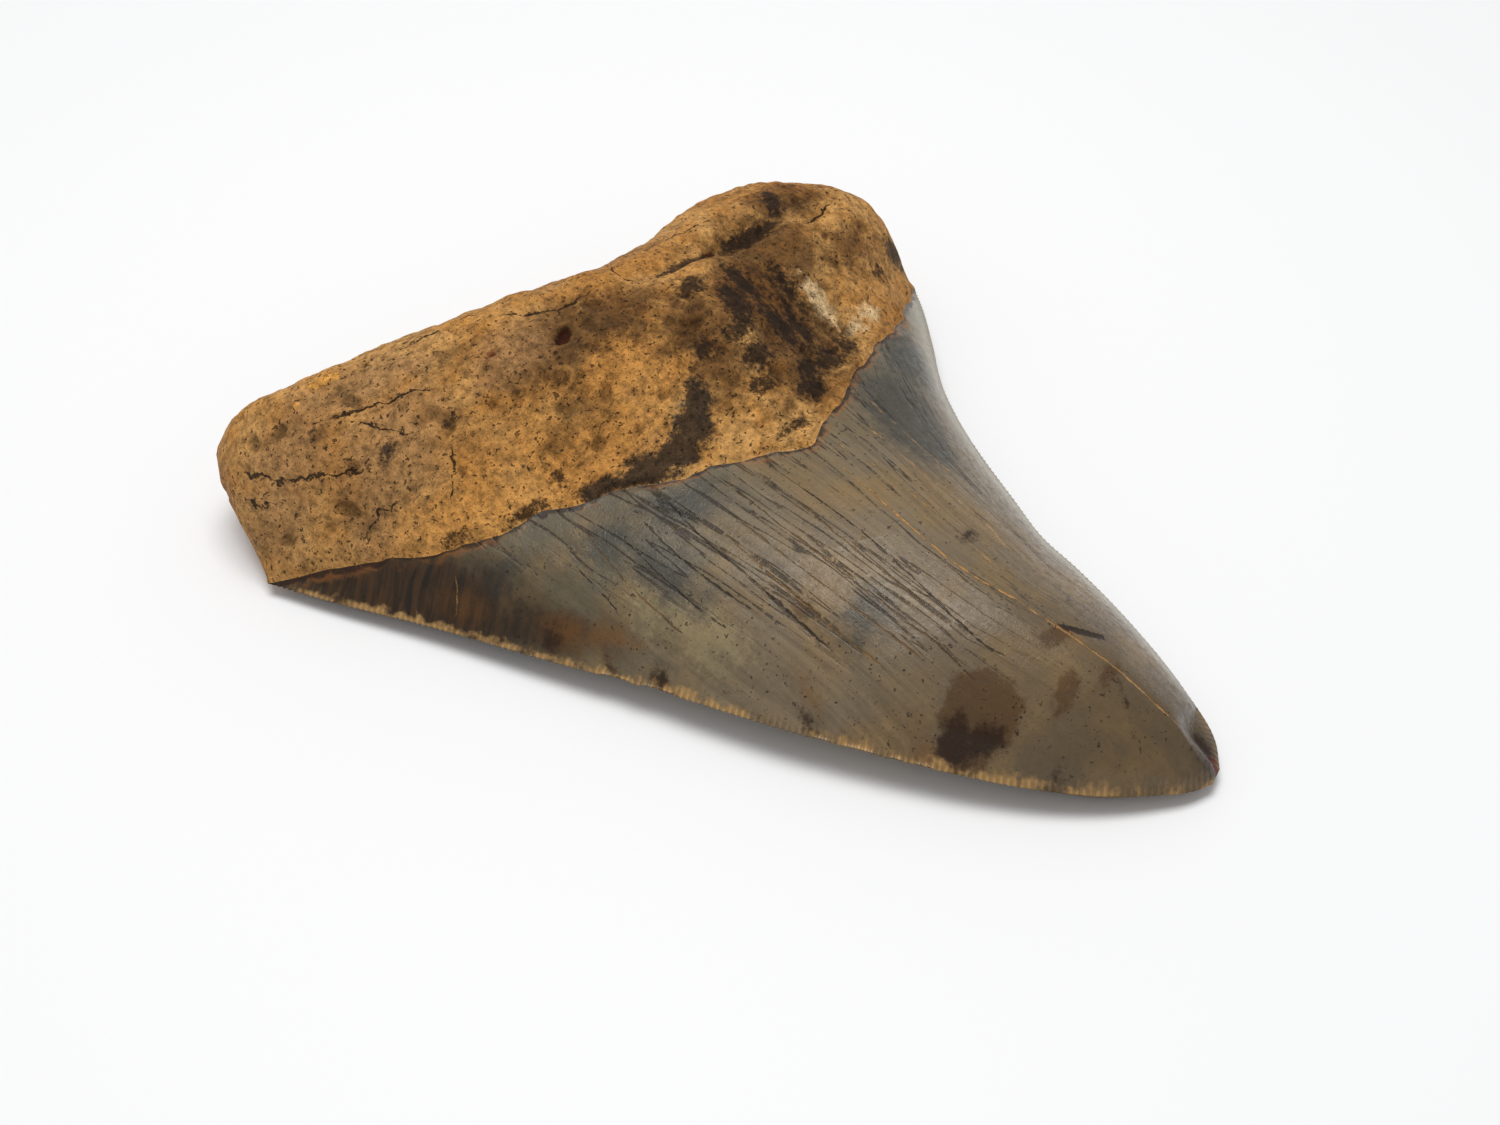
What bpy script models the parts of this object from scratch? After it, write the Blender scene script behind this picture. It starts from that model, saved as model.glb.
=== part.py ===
"""A fossil megalodon tooth lying on its flatter labial face, lingual face up.

The tooth is one solid: root and crown grew as one piece. It is a loft between two skins that share
one rim. The rim runs up both cutting edges from the tip, round the root's two lobes and along the
root's basal margin. Lengths are in millimetres until the mesh is made. X runs across the tooth,
+Y from the tip to the root, +Z up, and the origin is on the table under the middle of the outline.
"""
import math

import bmesh
import bpy
import numpy as np

METRES_PER_MM = 0.001
COLLECTION_NAME = "megalodon_tooth"
PIECE_NAME = "tooth"

# Driving dimensions
SERRATION_PITCH = 0.7
SERRATION_DEPTH = 0.22
SERRATIONS_FADE = 2.5
LEDGE_HEIGHT = 0.7
LEDGE_HEIGHT_AT_LEFT = 1.4
# Shares of the border's run: where the higher ledge ends, and how fast it starts at a corner
LEDGE_LEFT_REACH = 0.22
LEDGE_START = 0.05
# Share of the root's length in which the ledge rises
LEDGE_FOOT = 0.03

# The rim, from the tip: x, y and the height above the table
LEFT_CUTTING_EDGE = (
    (-0.9, -0.1, 1.6), (-3.2, 0.9, 1.8), (-6.4, 3.4, 2.3), (-10.4, 7.4, 2.9), (-14.4, 12.8, 3.5),
    (-17.7, 18.7, 4.0), (-21.2, 26.6, 4.3), (-24.3, 34.7, 4.4), (-29.5, 52.3, 3.8),
    (-32.2, 61.0, 3.2), (-36.9, 76.4, 2.4), (-41.8, 90.6, 1.8), (-43.3, 95.7, 1.7),
)
RIGHT_CUTTING_EDGE = (
    (1.2, 0.3, 1.6), (3.8, 2.3, 1.9), (7.3, 8.3, 2.8), (11.0, 17.5, 3.9), (13.8, 26.4, 4.5),
    (15.0, 31.1, 4.7), (18.1, 37.3, 4.8), (23.4, 46.9, 4.7), (29.1, 54.8, 4.4), (35.7, 61.2, 4.1),
    (41.0, 66.4, 3.6), (44.4, 70.3, 3.2),
)
LEFT_ROOT_SIDE = (
    (-43.3, 95.7, 1.7), (-42.3, 98.5, 3.4), (-41.2, 101.9, 5.2), (-40.1, 105.1, 6.8),
    (-38.4, 108.3, 7.8), (-35.8, 110.2, 8.2),
)
RIGHT_ROOT_SIDE = (
    (44.4, 70.3, 3.2), (45.3, 73.3, 4.4), (45.4, 76.8, 5.8), (44.7, 80.0, 7.0), (43.4, 83.0, 7.8),
    (41.2, 85.6, 8.2),
)
BASAL_MARGIN = (
    (-35.8, 110.2, 8.2), (-32.4, 110.3, 8.3), (-26.2, 107.7, 8.6), (-20.6, 105.2, 8.8),
    (-10.5, 100.0, 9.2), (-0.6, 95.1, 9.4), (8.6, 92.0, 9.3), (14.6, 92.5, 9.1), (21.0, 94.0, 9.0),
    (26.4, 94.4, 8.8), (31.0, 93.3, 8.6), (35.0, 91.5, 8.4), (38.6, 88.9, 8.3), (41.2, 85.6, 8.2),
)
# Where bone meets enamel on each face, from the left corner to the right: x and y
LINGUAL_BORDER = (
    (-43.3, 95.7), (-40.2, 91.8), (-36.0, 85.5), (-31.2, 78.0), (-24.5, 72.2), (-17.0, 65.9),
    (-10.5, 60.4), (-4.5, 55.4), (0.4, 52.6), (5.6, 54.2), (13.4, 57.6), (21.8, 60.3), (29.0, 62.4),
    (35.6, 65.4), (44.4, 70.3),
)
LABIAL_BORDER = (
    (-43.3, 95.7), (-34.0, 89.0), (-20.0, 81.6), (-4.0, 75.6), (12.0, 71.4), (28.0, 69.6),
    (44.4, 70.3),
)

# Thickness of the lingual side above the rim. Station is 0 at the tip and 1 at the border.
CROWN_STATIONS = (0.0, 0.05, 0.12, 0.25, 0.45, 0.7, 1.0)
CROWN_RISE = (0.6, 2.4, 4.6, 7.8, 10.8, 13.0, 14.2)
CROWN_SPINE = 0.56
CROWN_FULLNESS = 1.22
# Station is 0 at the border and 1 at the basal margin
ROOT_STATIONS = (0.0, 0.2, 0.45, 0.7, 1.0)
ROOT_RISE = (13.0, 15.2, 15.8, 14.8, 12.8)
ROOT_ROUNDING = 10.0
ROOT_ROUNDING_BELOW = 8.0
LOBE_RISE = 0.62
LOBE_FULLNESS = 1.3
BONE_TAKES_OVER = 0.42

# Hills and hollows of the lingual root: x, y, half width along and across, angle, height
ROOT_RELIEF = (
    (-6.0, 80.0, 26.0, 9.0, -22.0, 1.3),
    (9.0, 79.4, 7.5, 1.9, 0.0, -0.9),
    (20.0, 78.4, 6.5, 2.0, -12.0, -1.3),
    (14.5, 67.5, 11.0, 4.8, 82.0, -1.6),
    (32.0, 78.0, 9.0, 8.0, 0.0, 0.9),
    (-9.1, 80.6, 1.9, 1.3, 0.0, -1.1),
    (-20.0, 72.0, 1.0, 1.8, 0.0, -0.8),
    (-28.5, 86.0, 6.0, 1.6, 75.0, -0.5),
    (30.5, 75.8, 4.5, 1.3, 8.0, -0.6),
)

# Depth of the labial side below the rim, and how the hollow under the root fades to the sides
CROWN_DROP = 6.4
CROWN_DROP_FULLNESS = 1.25
CROWN_DROP_START = 0.15
TABLE_EASE = 1.2
ROOT_HOLLOW = 1.6
ROOT_HOLLOW_FADE = 4

# Chips in the cutting edges: distance from the tip along the edge, width and depth
LEFT_CHIPS = (
    (30.5, 2.4, 0.4), (33.2, 1.6, 0.25), (37.0, 4.0, 0.35), (41.0, 2.4, 0.4), (59.5, 4.0, 0.6),
    (64.5, 3.6, 0.6),
)
RIGHT_CHIPS = ((13.0, 3.0, 0.4), (54.0, 5.0, 0.5), (66.0, 3.0, 0.4))

# The break at the tip: its crease as x at each y, how far down it starts and how steep it is
TIP_CREASE_X = (-0.6, -1.3, -1.5, -1.4)
TIP_CREASE_Y = (0.0, 1.5, 3.3, 5.2)
TIP_BREAK_TOP = 6.2
TIP_BREAK_FADE = 2.5
TIP_BREAK_SLOPE = 0.75
TIP_BREAK_SHARE = 0.72

# Resolution, and where the rows are closer together
COLUMNS = 38
CROWN_ROWS = 30
ROOT_ROWS = 23
CROWN_ROW_POWER = 0.92
FIRST_ROOT_ROWS = (0.03, 0.08)
ROOT_ROW_POWER = 1.5
EVEN_SHARE = 0.45
RIM_POINTS = 200
ROOT_SIDE_POINTS = 24
MARGIN_POINTS = 60


def smooth_path(points, count=200, at=None):
    """Points on a smooth curve through the given ones, evenly spaced or at the shares in at."""
    points = np.asarray(points, float)
    chord = np.linalg.norm(np.diff(points, axis=0), axis=1)
    knots = np.concatenate([[0.0], np.cumsum(chord)])
    slopes = np.gradient(points, knots, axis=0)
    dense = np.linspace(0.0, knots[-1], 40 * len(points))
    seg = np.clip(np.searchsorted(knots, dense, side="right") - 1, 0, len(points) - 2)
    span = (knots[seg + 1] - knots[seg])[:, None]
    u = (dense - knots[seg])[:, None] / span
    curve = (
        (2 * u**3 - 3 * u**2 + 1) * points[seg]
        + (u**3 - 2 * u**2 + u) * span * slopes[seg]
        + (3 * u**2 - 2 * u**3) * points[seg + 1]
        + (u**3 - u**2) * span * slopes[seg + 1]
    )
    run = np.concatenate([[0.0], np.cumsum(np.linalg.norm(np.diff(curve, axis=0), axis=1))])
    shares = np.linspace(0.0, 1.0, count) if at is None else np.asarray(at, float)
    return np.stack([np.interp(shares * run[-1], run, axis) for axis in curve.T], -1)


def smooth_step(x):
    """0 below 0, 1 above 1, smooth between."""
    x = np.clip(x, 0.0, 1.0)
    return x * x * (3 - 2 * x)


def soft_floor(height):
    """The height, eased onto the table where it would go below it."""
    eased = (height + TABLE_EASE) ** 2 / (4 * TABLE_EASE)
    return np.where(height > TABLE_EASE, height, np.where(height > -TABLE_EASE, eased, 0.0))


def path_length(path):
    return np.linalg.norm(np.diff(path, axis=0), axis=1).sum()


def inward_normals(path, inside):
    """Unit vectors in the table's plane, square to the path and pointing to the side of inside."""
    along = np.gradient(path[:, :2], axis=0)
    along /= np.linalg.norm(along, axis=1)[:, None]
    normal = np.stack([-along[:, 1], along[:, 0]], -1)
    turn = np.sign(((np.asarray(inside) - path[:, :2]) * normal).sum(1))
    return normal * turn[:, None]


def serrated(edge, chips, inside):
    """The cutting edge with its chips and with one tooth of the saw for each pitch."""
    length = path_length(edge)
    teeth = int(length / SERRATION_PITCH)
    fine = smooth_path(edge, at=np.linspace(0.0, 1.0, 2 * teeth + 1))
    run = np.linspace(0.0, length, 2 * teeth + 1)
    fade = smooth_step(run / SERRATIONS_FADE) * smooth_step((length - run) / SERRATIONS_FADE)
    depth = np.where(np.arange(len(run)) % 2 == 1, SERRATION_DEPTH, 0.0) * fade
    for place, width, bite in chips:
        depth = depth + bite * np.clip(1 - (2 * (run - place) / width) ** 2, 0.0, None)
    fine[:, :2] += inward_normals(fine, inside) * depth[:, None]
    return fine


def patch(start, end, left, right, u, v):
    """Coons patch: the plan of a skin that meets four curves. u runs across, v from start to end."""
    first = smooth_path(start, at=u)[None, :, :2]
    last = smooth_path(end, at=u)[None, :, :2]
    port = smooth_path(left, at=v)[:, None, :2]
    starboard = smooth_path(right, at=v)[:, None, :2]
    u = u[None, :, None]
    v = v[:, None, None]
    corners = (
        (1 - v) * ((1 - u) * first[:, :1] + u * first[:, -1:])
        + v * ((1 - u) * last[:, :1] + u * last[:, -1:])
    )
    return (1 - v) * first + v * last + (1 - u) * port + u * starboard - corners


def distance_to(path, plan):
    """Shortest distance in plan from each point of the grid to the path."""
    start = path[:-1, :2]
    span = path[1:, :2] - start
    offset = plan[:, :, None, :] - start
    share = np.clip((offset * span).sum(-1) / (span**2).sum(-1), 0.0, 1.0)
    return np.linalg.norm(offset - share[..., None] * span, axis=-1).min(-1)


def rim_levels(left, right, u, v):
    """Height of the rim under each grid point, level across from edge to edge."""
    port = smooth_path(left, at=v)[:, None, 2]
    starboard = smooth_path(right, at=v)[:, None, 2]
    return (1 - u) * port + u * starboard


def crown_section(u):
    """Share of the crown's rise across one row: a full dome with thin blades at both edges."""
    spine = np.where(u < CROWN_SPINE, u / CROWN_SPINE, (1 - u) / (1 - CROWN_SPINE))
    return (1 - (1 - spine) ** 2) ** CROWN_FULLNESS


def quarter_round(distance, radius):
    """Share of full thickness at this distance in from the root's rounded rim."""
    return np.sqrt(1 - (1 - np.clip(distance / radius, 0.0, 1.0)) ** 2)


def root_rim():
    """The rim round the root, corner to corner, as one path."""
    left = smooth_path(LEFT_ROOT_SIDE, count=ROOT_SIDE_POINTS)
    right = smooth_path(RIGHT_ROOT_SIDE, count=ROOT_SIDE_POINTS)
    margin = smooth_path(BASAL_MARGIN, count=MARGIN_POINTS)
    return np.concatenate([left, margin[1:-1], right[::-1]])


def relief(plan):
    """Height of the root's hills and hollows at each point of the plan."""
    total = np.zeros(plan.shape[:2])
    for x, y, along, across, angle, height in ROOT_RELIEF:
        turn = math.radians(angle)
        offset = plan - (x, y)
        run = offset[..., 0] * math.cos(turn) + offset[..., 1] * math.sin(turn)
        side = offset[..., 1] * math.cos(turn) - offset[..., 0] * math.sin(turn)
        total += height * np.exp(-((run / along) ** 2) - (side / across) ** 2)
    return total


def outline_middle():
    """Middle of the plan's box, which is where the origin goes."""
    rim = [smooth_path(LEFT_CUTTING_EDGE), smooth_path(RIGHT_CUTTING_EDGE), root_rim()]
    plan = np.concatenate(rim)[:, :2]
    return (plan.min(0) + plan.max(0)) / 2


def ledge(u):
    """How far the bone stands proud of the enamel along the border."""
    near_left = 1 - smooth_step(u / LEDGE_LEFT_REACH)
    ends = smooth_step(u / LEDGE_START) * smooth_step((1 - u) / LEDGE_START)
    return (LEDGE_HEIGHT + LEDGE_HEIGHT_AT_LEFT * near_left) * ends


def tip_break(plan):
    """Height that the broken facet takes off the tip, to the right of its crease."""
    past_crease = plan[..., 0] - np.interp(plan[..., 1], TIP_CREASE_Y, TIP_CREASE_X)
    fade = smooth_step((TIP_BREAK_TOP - plan[..., 1]) / TIP_BREAK_FADE)
    return TIP_BREAK_SLOPE * np.clip(past_crease, 0.0, None) * fade


def crown_skins(u, v):
    """Points of the lingual and labial skins between the tip and the border."""
    tip = (LEFT_CUTTING_EDGE[0], RIGHT_CUTTING_EDGE[0])
    skins = []
    level = rim_levels(LEFT_CUTTING_EDGE, RIGHT_CUTTING_EDGE, u, v)
    for border, upward in ((LINGUAL_BORDER, True), (LABIAL_BORDER, False)):
        plan = patch(tip, border, LEFT_CUTTING_EDGE, RIGHT_CUTTING_EDGE, u, v)
        if upward:
            rise = np.interp(v, CROWN_STATIONS, CROWN_RISE)[:, None] * crown_section(u)
            height = level + rise - np.minimum(tip_break(plan), TIP_BREAK_SHARE * rise)
        else:
            drop = CROWN_DROP * smooth_step(v / CROWN_DROP_START)[:, None]
            across = (4 * u * (1 - u)) ** CROWN_DROP_FULLNESS
            height = soft_floor(level - drop * across)
        skins.append(np.dstack([plan, height]))
    return skins


def root_skins(u, v):
    """Points of the lingual and labial skins between the border and the basal margin."""
    rim = root_rim()
    sides = rim_levels(LEFT_ROOT_SIDE, RIGHT_ROOT_SIDE, u, v)
    margin = smooth_path(BASAL_MARGIN, at=u)[None, :, 2]
    level = (1 - v[:, None]) * sides + v[:, None] * margin
    edge_level = rim_levels(LEFT_CUTTING_EDGE, RIGHT_CUTTING_EDGE, u, np.array([1.0]))
    lobes = LOBE_RISE + (1 - LOBE_RISE) * np.sin(math.pi * u) ** LOBE_FULLNESS
    rise = np.interp(v, ROOT_STATIONS, ROOT_RISE)[:, None] * lobes
    skins = []
    for border, upward in ((LINGUAL_BORDER, True), (LABIAL_BORDER, False)):
        plan = patch(border, BASAL_MARGIN, LEFT_ROOT_SIDE, RIGHT_ROOT_SIDE, u, v)
        radius = ROOT_ROUNDING if upward else ROOT_ROUNDING_BELOW
        rounding = quarter_round(distance_to(rim, plan), radius)
        bone = 1 - (1 - np.clip(v / BONE_TAKES_OVER, 0.0, 1.0)[:, None]) ** 2
        if upward:
            enamel_like = edge_level + CROWN_RISE[-1] * crown_section(u)
            height = (1 - bone) * enamel_like + bone * (level + rise * rounding)
            height = height + ledge(u) * smooth_step(v[:, None] / LEDGE_FOOT) * (1 - bone)
            height = height + relief(plan) * rounding * bone
        else:
            across = (4 * u * (1 - u)) ** CROWN_DROP_FULLNESS
            enamel_like = soft_floor(edge_level - CROWN_DROP * across)
            middle = np.sin(math.pi * u) ** ROOT_HOLLOW_FADE
            hollow = ROOT_HOLLOW * middle * np.sin(math.pi * v)[:, None]
            height = (1 - bone) * enamel_like + bone * level * (1 - rounding) + hollow
        height[-1] = margin
        skins.append(np.dstack([plan, height]))
    return skins


def clustered(count):
    """Shares from 0 to 1, closer together at both ends."""
    even = np.linspace(0.0, 1.0, count)
    return EVEN_SHARE * even + (1 - EVEN_SHARE) * (1 - np.cos(math.pi * even)) / 2


def grid_shares():
    """Shares across, from tip to border, and from border to basal margin."""
    u = clustered(COLUMNS + 1)
    crown_v = np.linspace(0.0, 1.0, CROWN_ROWS + 1) ** CROWN_ROW_POWER
    start, rest = FIRST_ROOT_ROWS
    root_v = 1 - (1 - np.linspace(rest, 1.0, ROOT_ROWS)) ** ROOT_ROW_POWER
    return u, crown_v, np.concatenate([[start], root_v])


def stitch(bm, inner, outer):
    """Triangles between two rows of vertices with different counts, along the shorter diagonals."""
    i = j = 0
    while i < len(inner) - 1 or j < len(outer) - 1:
        step_outer = i == len(inner) - 1
        if not step_outer and j < len(outer) - 1:
            to_outer = (inner[i].co - outer[j + 1].co).length
            to_inner = (inner[i + 1].co - outer[j].co).length
            step_outer = to_outer <= to_inner
        if step_outer:
            bm.faces.new((inner[i], outer[j], outer[j + 1]))
            j += 1
        else:
            bm.faces.new((inner[i], outer[j], inner[i + 1]))
            i += 1


def build_mesh():
    """The closed loft: two skins stitched to one serrated rim."""
    u, crown_v, root_v = grid_shares()
    crown = crown_skins(u, crown_v)
    root = root_skins(u, root_v)
    grids = [np.concatenate([c, r]) for c, r in zip(crown, root)]
    inside = grids[0][CROWN_ROWS // 2, COLUMNS // 2, :2]
    origin = np.array([*outline_middle(), 0.0])

    bm = bmesh.new()

    def vertex(point):
        return bm.verts.new((np.asarray(point) - origin) * METRES_PER_MM)

    left_edge = smooth_path(LEFT_CUTTING_EDGE, count=RIM_POINTS)
    right_edge = smooth_path(RIGHT_CUTTING_EDGE, count=RIM_POINTS)
    left_rim = [vertex(p) for p in serrated(left_edge, LEFT_CHIPS, inside)]
    right_rim = [vertex(p) for p in serrated(right_edge, RIGHT_CHIPS, inside)]
    left_root = [vertex(p) for p in smooth_path(LEFT_ROOT_SIDE, at=root_v)]
    right_root = [vertex(p) for p in smooth_path(RIGHT_ROOT_SIDE, at=root_v)]
    margin = [left_root[-1], *(vertex(p) for p in grids[0][-1, 1:-1]), right_root[-1]]
    tip = [left_rim[0], *(vertex(p) for p in grids[0][0, 1:-1]), right_rim[0]]

    for grid in grids:
        inner = [[vertex(p) for p in row[1:-1]] for row in grid[1:-1]]
        for lower, upper in zip(inner[:-1], inner[1:]):
            for k in range(len(lower) - 1):
                bm.faces.new((lower[k], lower[k + 1], upper[k + 1], upper[k]))
        stitch(bm, inner[0], tip)
        stitch(bm, inner[-1], margin)
        for side, rim, root_side in ((0, left_rim, left_root), (-1, right_rim, right_root)):
            column = [row[side] for row in inner]
            stitch(bm, column[:CROWN_ROWS], rim)
            stitch(bm, column[CROWN_ROWS - 1 :], [rim[-1], *root_side])
    bmesh.ops.recalc_face_normals(bm, faces=bm.faces)
    mesh = bpy.data.meshes.new(PIECE_NAME)
    bm.to_mesh(mesh)
    bm.free()
    return mesh


def fossil_material():
    """Mineralised tooth: brown porous root and grey enamel, here as their mean."""
    material = bpy.data.materials.new("fossil_tooth")
    material.use_nodes = True
    shader = material.node_tree.nodes["Principled BSDF"]
    shader.inputs["Base Color"].default_value = (0.16, 0.11, 0.06, 1.0)
    shader.inputs["Roughness"].default_value = 0.45
    shader.inputs["Metallic"].default_value = 0.0
    return material


def main():
    for obj in list(bpy.data.objects):
        bpy.data.objects.remove(obj)
    mesh = build_mesh()
    mesh.materials.append(fossil_material())
    mesh.shade_smooth()
    tooth = bpy.data.objects.new(PIECE_NAME, mesh)
    collection = bpy.data.collections.new(COLLECTION_NAME)
    bpy.context.scene.collection.children.link(collection)
    collection.objects.link(tooth)


main()
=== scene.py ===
"""A fossil megalodon tooth on a pale table: brown porous root, satin grey enamel crown."""
import logging
import math
from dataclasses import dataclass, field
from enum import Enum

import bpy
import numpy as np
from mathutils import Matrix, Vector


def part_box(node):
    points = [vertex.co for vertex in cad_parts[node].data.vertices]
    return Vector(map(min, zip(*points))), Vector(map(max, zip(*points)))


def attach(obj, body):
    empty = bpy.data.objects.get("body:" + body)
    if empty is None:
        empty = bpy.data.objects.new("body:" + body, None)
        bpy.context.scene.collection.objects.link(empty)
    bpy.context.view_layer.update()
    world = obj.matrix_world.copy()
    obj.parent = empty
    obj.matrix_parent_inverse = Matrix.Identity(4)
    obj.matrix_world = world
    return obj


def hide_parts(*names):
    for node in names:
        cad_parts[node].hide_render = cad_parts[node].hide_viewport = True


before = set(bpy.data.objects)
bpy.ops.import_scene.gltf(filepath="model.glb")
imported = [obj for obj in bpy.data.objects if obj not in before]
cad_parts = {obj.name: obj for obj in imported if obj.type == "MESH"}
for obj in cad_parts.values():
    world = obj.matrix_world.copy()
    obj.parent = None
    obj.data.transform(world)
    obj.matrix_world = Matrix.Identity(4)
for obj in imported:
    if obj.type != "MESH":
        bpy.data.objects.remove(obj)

log = logging.getLogger("tooth")

MM = 0.001
NODE = "tooth"
BODY = "root"

# Settings of nodes that are used all through the finishes
SMOOTH = {"interpolation_type": "SMOOTHSTEP"}
COVER = {"data_type": "RGBA"}
SHADE = {"data_type": "RGBA", "blend_type": "MULTIPLY"}
TIMES = {"operation": "MULTIPLY"}
PLUS = {"operation": "ADD"}
MINUS = {"operation": "SUBTRACT"}
TIMES_PLUS = {"operation": "MULTIPLY_ADD"}
LARGER = {"operation": "MAXIMUM"}
RESULT = 2
# Inputs of a colour mix: how much of it, what is under, and what lies over
AMOUNT, UNDER, OVER = 0, 6, 7

# Distance between two serrations of the cutting edges, in mm
SERRATION_PITCH = 0.7
# What the fields hold far from any stain, and far from any crack, in mm
NO_STAIN = -6.0
NO_CRACK = -0.7
# Large odd numbers that scatter the cells of the noise
CELL_STEPS = (73856093, 19349663, 83492791)
SEED_STEP = 2654435761
FIRST_STIR, SECOND_STIR = 2246822519, 3266489917

Points = tuple[tuple[float, ...], ...]


class Face(Enum):
    """The two faces of a shark's tooth: towards the tongue, and towards the lips."""

    LINGUAL = 1
    LABIAL = -1


class Field(Enum):
    """What the mesh stores at each point for its finishes, most of it in mm."""

    BORDER = "border_mm"
    EDGE = "edge_mm"
    EDGE_RUN = "edge_run_mm"
    RIGHT_EDGE = "right_edge"
    GRAIN = "grain_mm"
    CRACK = "crack_mm"
    CRACK_WIDTH = "crack_width_mm"
    CRACK_IRON = "crack_iron"
    HOLLOW = "hollow_mm"
    FIBRE = "fibre"


class StainKind(Enum):
    """What the seabed left in the tooth, and one kind of painted shade: each kind is one colour."""

    UMBER = "stain_umber"
    GREY = "stain_grey"
    OCHRE = "stain_ochre"
    SOOT = "stain_soot"
    INK = "stain_ink"
    CHALK = "stain_chalk"
    RUST = "stain_rust"
    FLAKE = "stain_flake"
    BLUE = "stain_blue"
    # Painted shade, not a stain: dark along the left corner under the ledge and over the tip's facet
    SHADE = "painted_shade"
    AMBER = "stain_amber"
    SMEAR = "stain_smear"
    BROWN = "stain_brown"


def smooth_path(
    points: Points | np.ndarray, count: int = 200, at: np.ndarray | None = None
) -> np.ndarray:
    """Points on a smooth curve through the given ones.

    Args:
        points: What the curve passes through.
        count: How many points to give, evenly spaced.
        at: Shares of the length to give instead.

    Returns:
        One row for each point.
    """
    points = np.asarray(points, float)
    chord = np.linalg.norm(np.diff(points, axis=0), axis=1)
    knots = np.concatenate([[0.0], np.cumsum(chord)])
    slopes = np.gradient(points, knots, axis=0)
    dense = np.linspace(0.0, knots[-1], 40 * len(points))
    seg = np.clip(np.searchsorted(knots, dense, side="right") - 1, 0, len(points) - 2)
    span = (knots[seg + 1] - knots[seg])[:, None]
    u = (dense - knots[seg])[:, None] / span
    curve = (
        (2 * u**3 - 3 * u**2 + 1) * points[seg]
        + (u**3 - 2 * u**2 + u) * span * slopes[seg]
        + (3 * u**2 - 2 * u**3) * points[seg + 1]
        + (u**3 - u**2) * span * slopes[seg + 1]
    )
    run = np.concatenate([[0.0], np.cumsum(np.linalg.norm(np.diff(curve, axis=0), axis=1))])
    shares = np.linspace(0.0, 1.0, count) if at is None else np.asarray(at, float)
    return np.stack([np.interp(shares * run[-1], run, axis) for axis in curve.T], -1)


def smooth_step(x: np.ndarray | float) -> np.ndarray:
    """0 below 0, 1 above 1, smooth between."""
    x = np.clip(x, 0.0, 1.0)
    return x * x * (3 - 2 * x)


def nearest_on(path: np.ndarray, plan: np.ndarray) -> tuple[np.ndarray, np.ndarray, np.ndarray]:
    """Where each point of the plan is nearest to a path.

    Args:
        path: The path's points, x and y first.
        plan: The points to test, x and y, in one list.

    Returns:
        The distance from the path, the run along it from its start, and 1 or -1 for the side.
    """
    start = path[:-1, :2]
    span = np.diff(path[:, :2], axis=0)
    length = np.linalg.norm(span, axis=1)
    before = np.concatenate([[0.0], np.cumsum(length)[:-1]])
    distance = np.empty(len(plan))
    run = np.empty(len(plan))
    side = np.empty(len(plan))
    for part in np.array_split(np.arange(len(plan)), max(1, len(plan) // 4000)):
        offset = plan[part, None, :2] - start
        share = np.clip((offset * span).sum(-1) / (length**2), 0.0, 1.0)
        gap = np.linalg.norm(offset - share[..., None] * span, axis=-1)
        best = gap.argmin(1)
        rows = np.arange(len(part))
        distance[part] = gap[rows, best]
        run[part] = before[best] + share[rows, best] * length[best]
        away = offset[rows, best]
        cross = span[best, 0] * away[:, 1] - span[best, 1] * away[:, 0]
        side[part] = np.where(cross < 0, -1.0, 1.0)
    return distance, run, side


def in_ellipse(
    plan: np.ndarray, x: float, y: float, along: float, across: float, angle: float
) -> np.ndarray:
    """Distance of each point from an ellipse's middle, as a share of its size in that direction.

    Args:
        plan: The points, with x and y first in each row.
        x: The middle's x, in mm.
        y: The middle's y, in mm.
        along: Half its length, in mm.
        across: Half its width, in mm.
        angle: Turn of its length from +X, in degrees.

    Returns:
        One share for each point, below 1 inside the ellipse.
    """
    turn = math.radians(angle)
    offset = plan[..., :2] - (x, y)
    run = offset[..., 0] * math.cos(turn) + offset[..., 1] * math.sin(turn)
    side = offset[..., 1] * math.cos(turn) - offset[..., 0] * math.sin(turn)
    return np.hypot(run / along, side / across)


def lumps(points: np.ndarray, size: float, seed: int) -> np.ndarray:
    """Smooth noise from -1 to 1 with lumps of one size.

    Args:
        points: Where to read it, one row for each, in mm.
        size: Distance between lumps, in mm.
        seed: Which field of lumps.

    Returns:
        One value for each point.
    """
    scaled = np.asarray(points, float) / size
    cell = np.floor(scaled).astype(np.int64)
    inside = scaled - cell
    ease = inside**3 * (inside * (inside * 6 - 15) + 10)
    total = np.zeros(len(scaled))
    for corner in range(1 << scaled.shape[1]):
        bits = np.array([(corner >> axis) & 1 for axis in range(scaled.shape[1])])
        key = ((cell + bits) * np.array(CELL_STEPS)[: len(bits)]).sum(1) + seed * SEED_STEP
        key = (key ^ (key >> 15)) * FIRST_STIR & 0xFFFFFFFF
        key = (key ^ (key >> 13)) * SECOND_STIR & 0xFFFFFFFF
        value = ((key ^ (key >> 16)) & 0xFFFF) / 32767.5 - 1
        total += value * np.prod(np.where(bits, ease, 1 - ease), axis=1)
    return total


@dataclass(frozen=True)
class Chip:
    """A bite out of a cutting edge: distance from the tip along it, width and depth in mm."""

    run: float
    width: float
    bite: float


@dataclass(frozen=True)
class Stain:
    """A coloured patch: its kind, middle, half length, half width and angle, in mm and degrees."""

    kind: StainKind
    x: float
    y: float
    along: float
    across: float
    angle: float = 0.0
    face: Face = Face.LINGUAL


@dataclass(frozen=True)
class Crack:
    """A crack in a face: its course in the plan, its width in mm, and how much iron fills it."""

    course: Points
    width: float
    iron: float = 0.0
    face: Face = Face.LINGUAL


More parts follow.
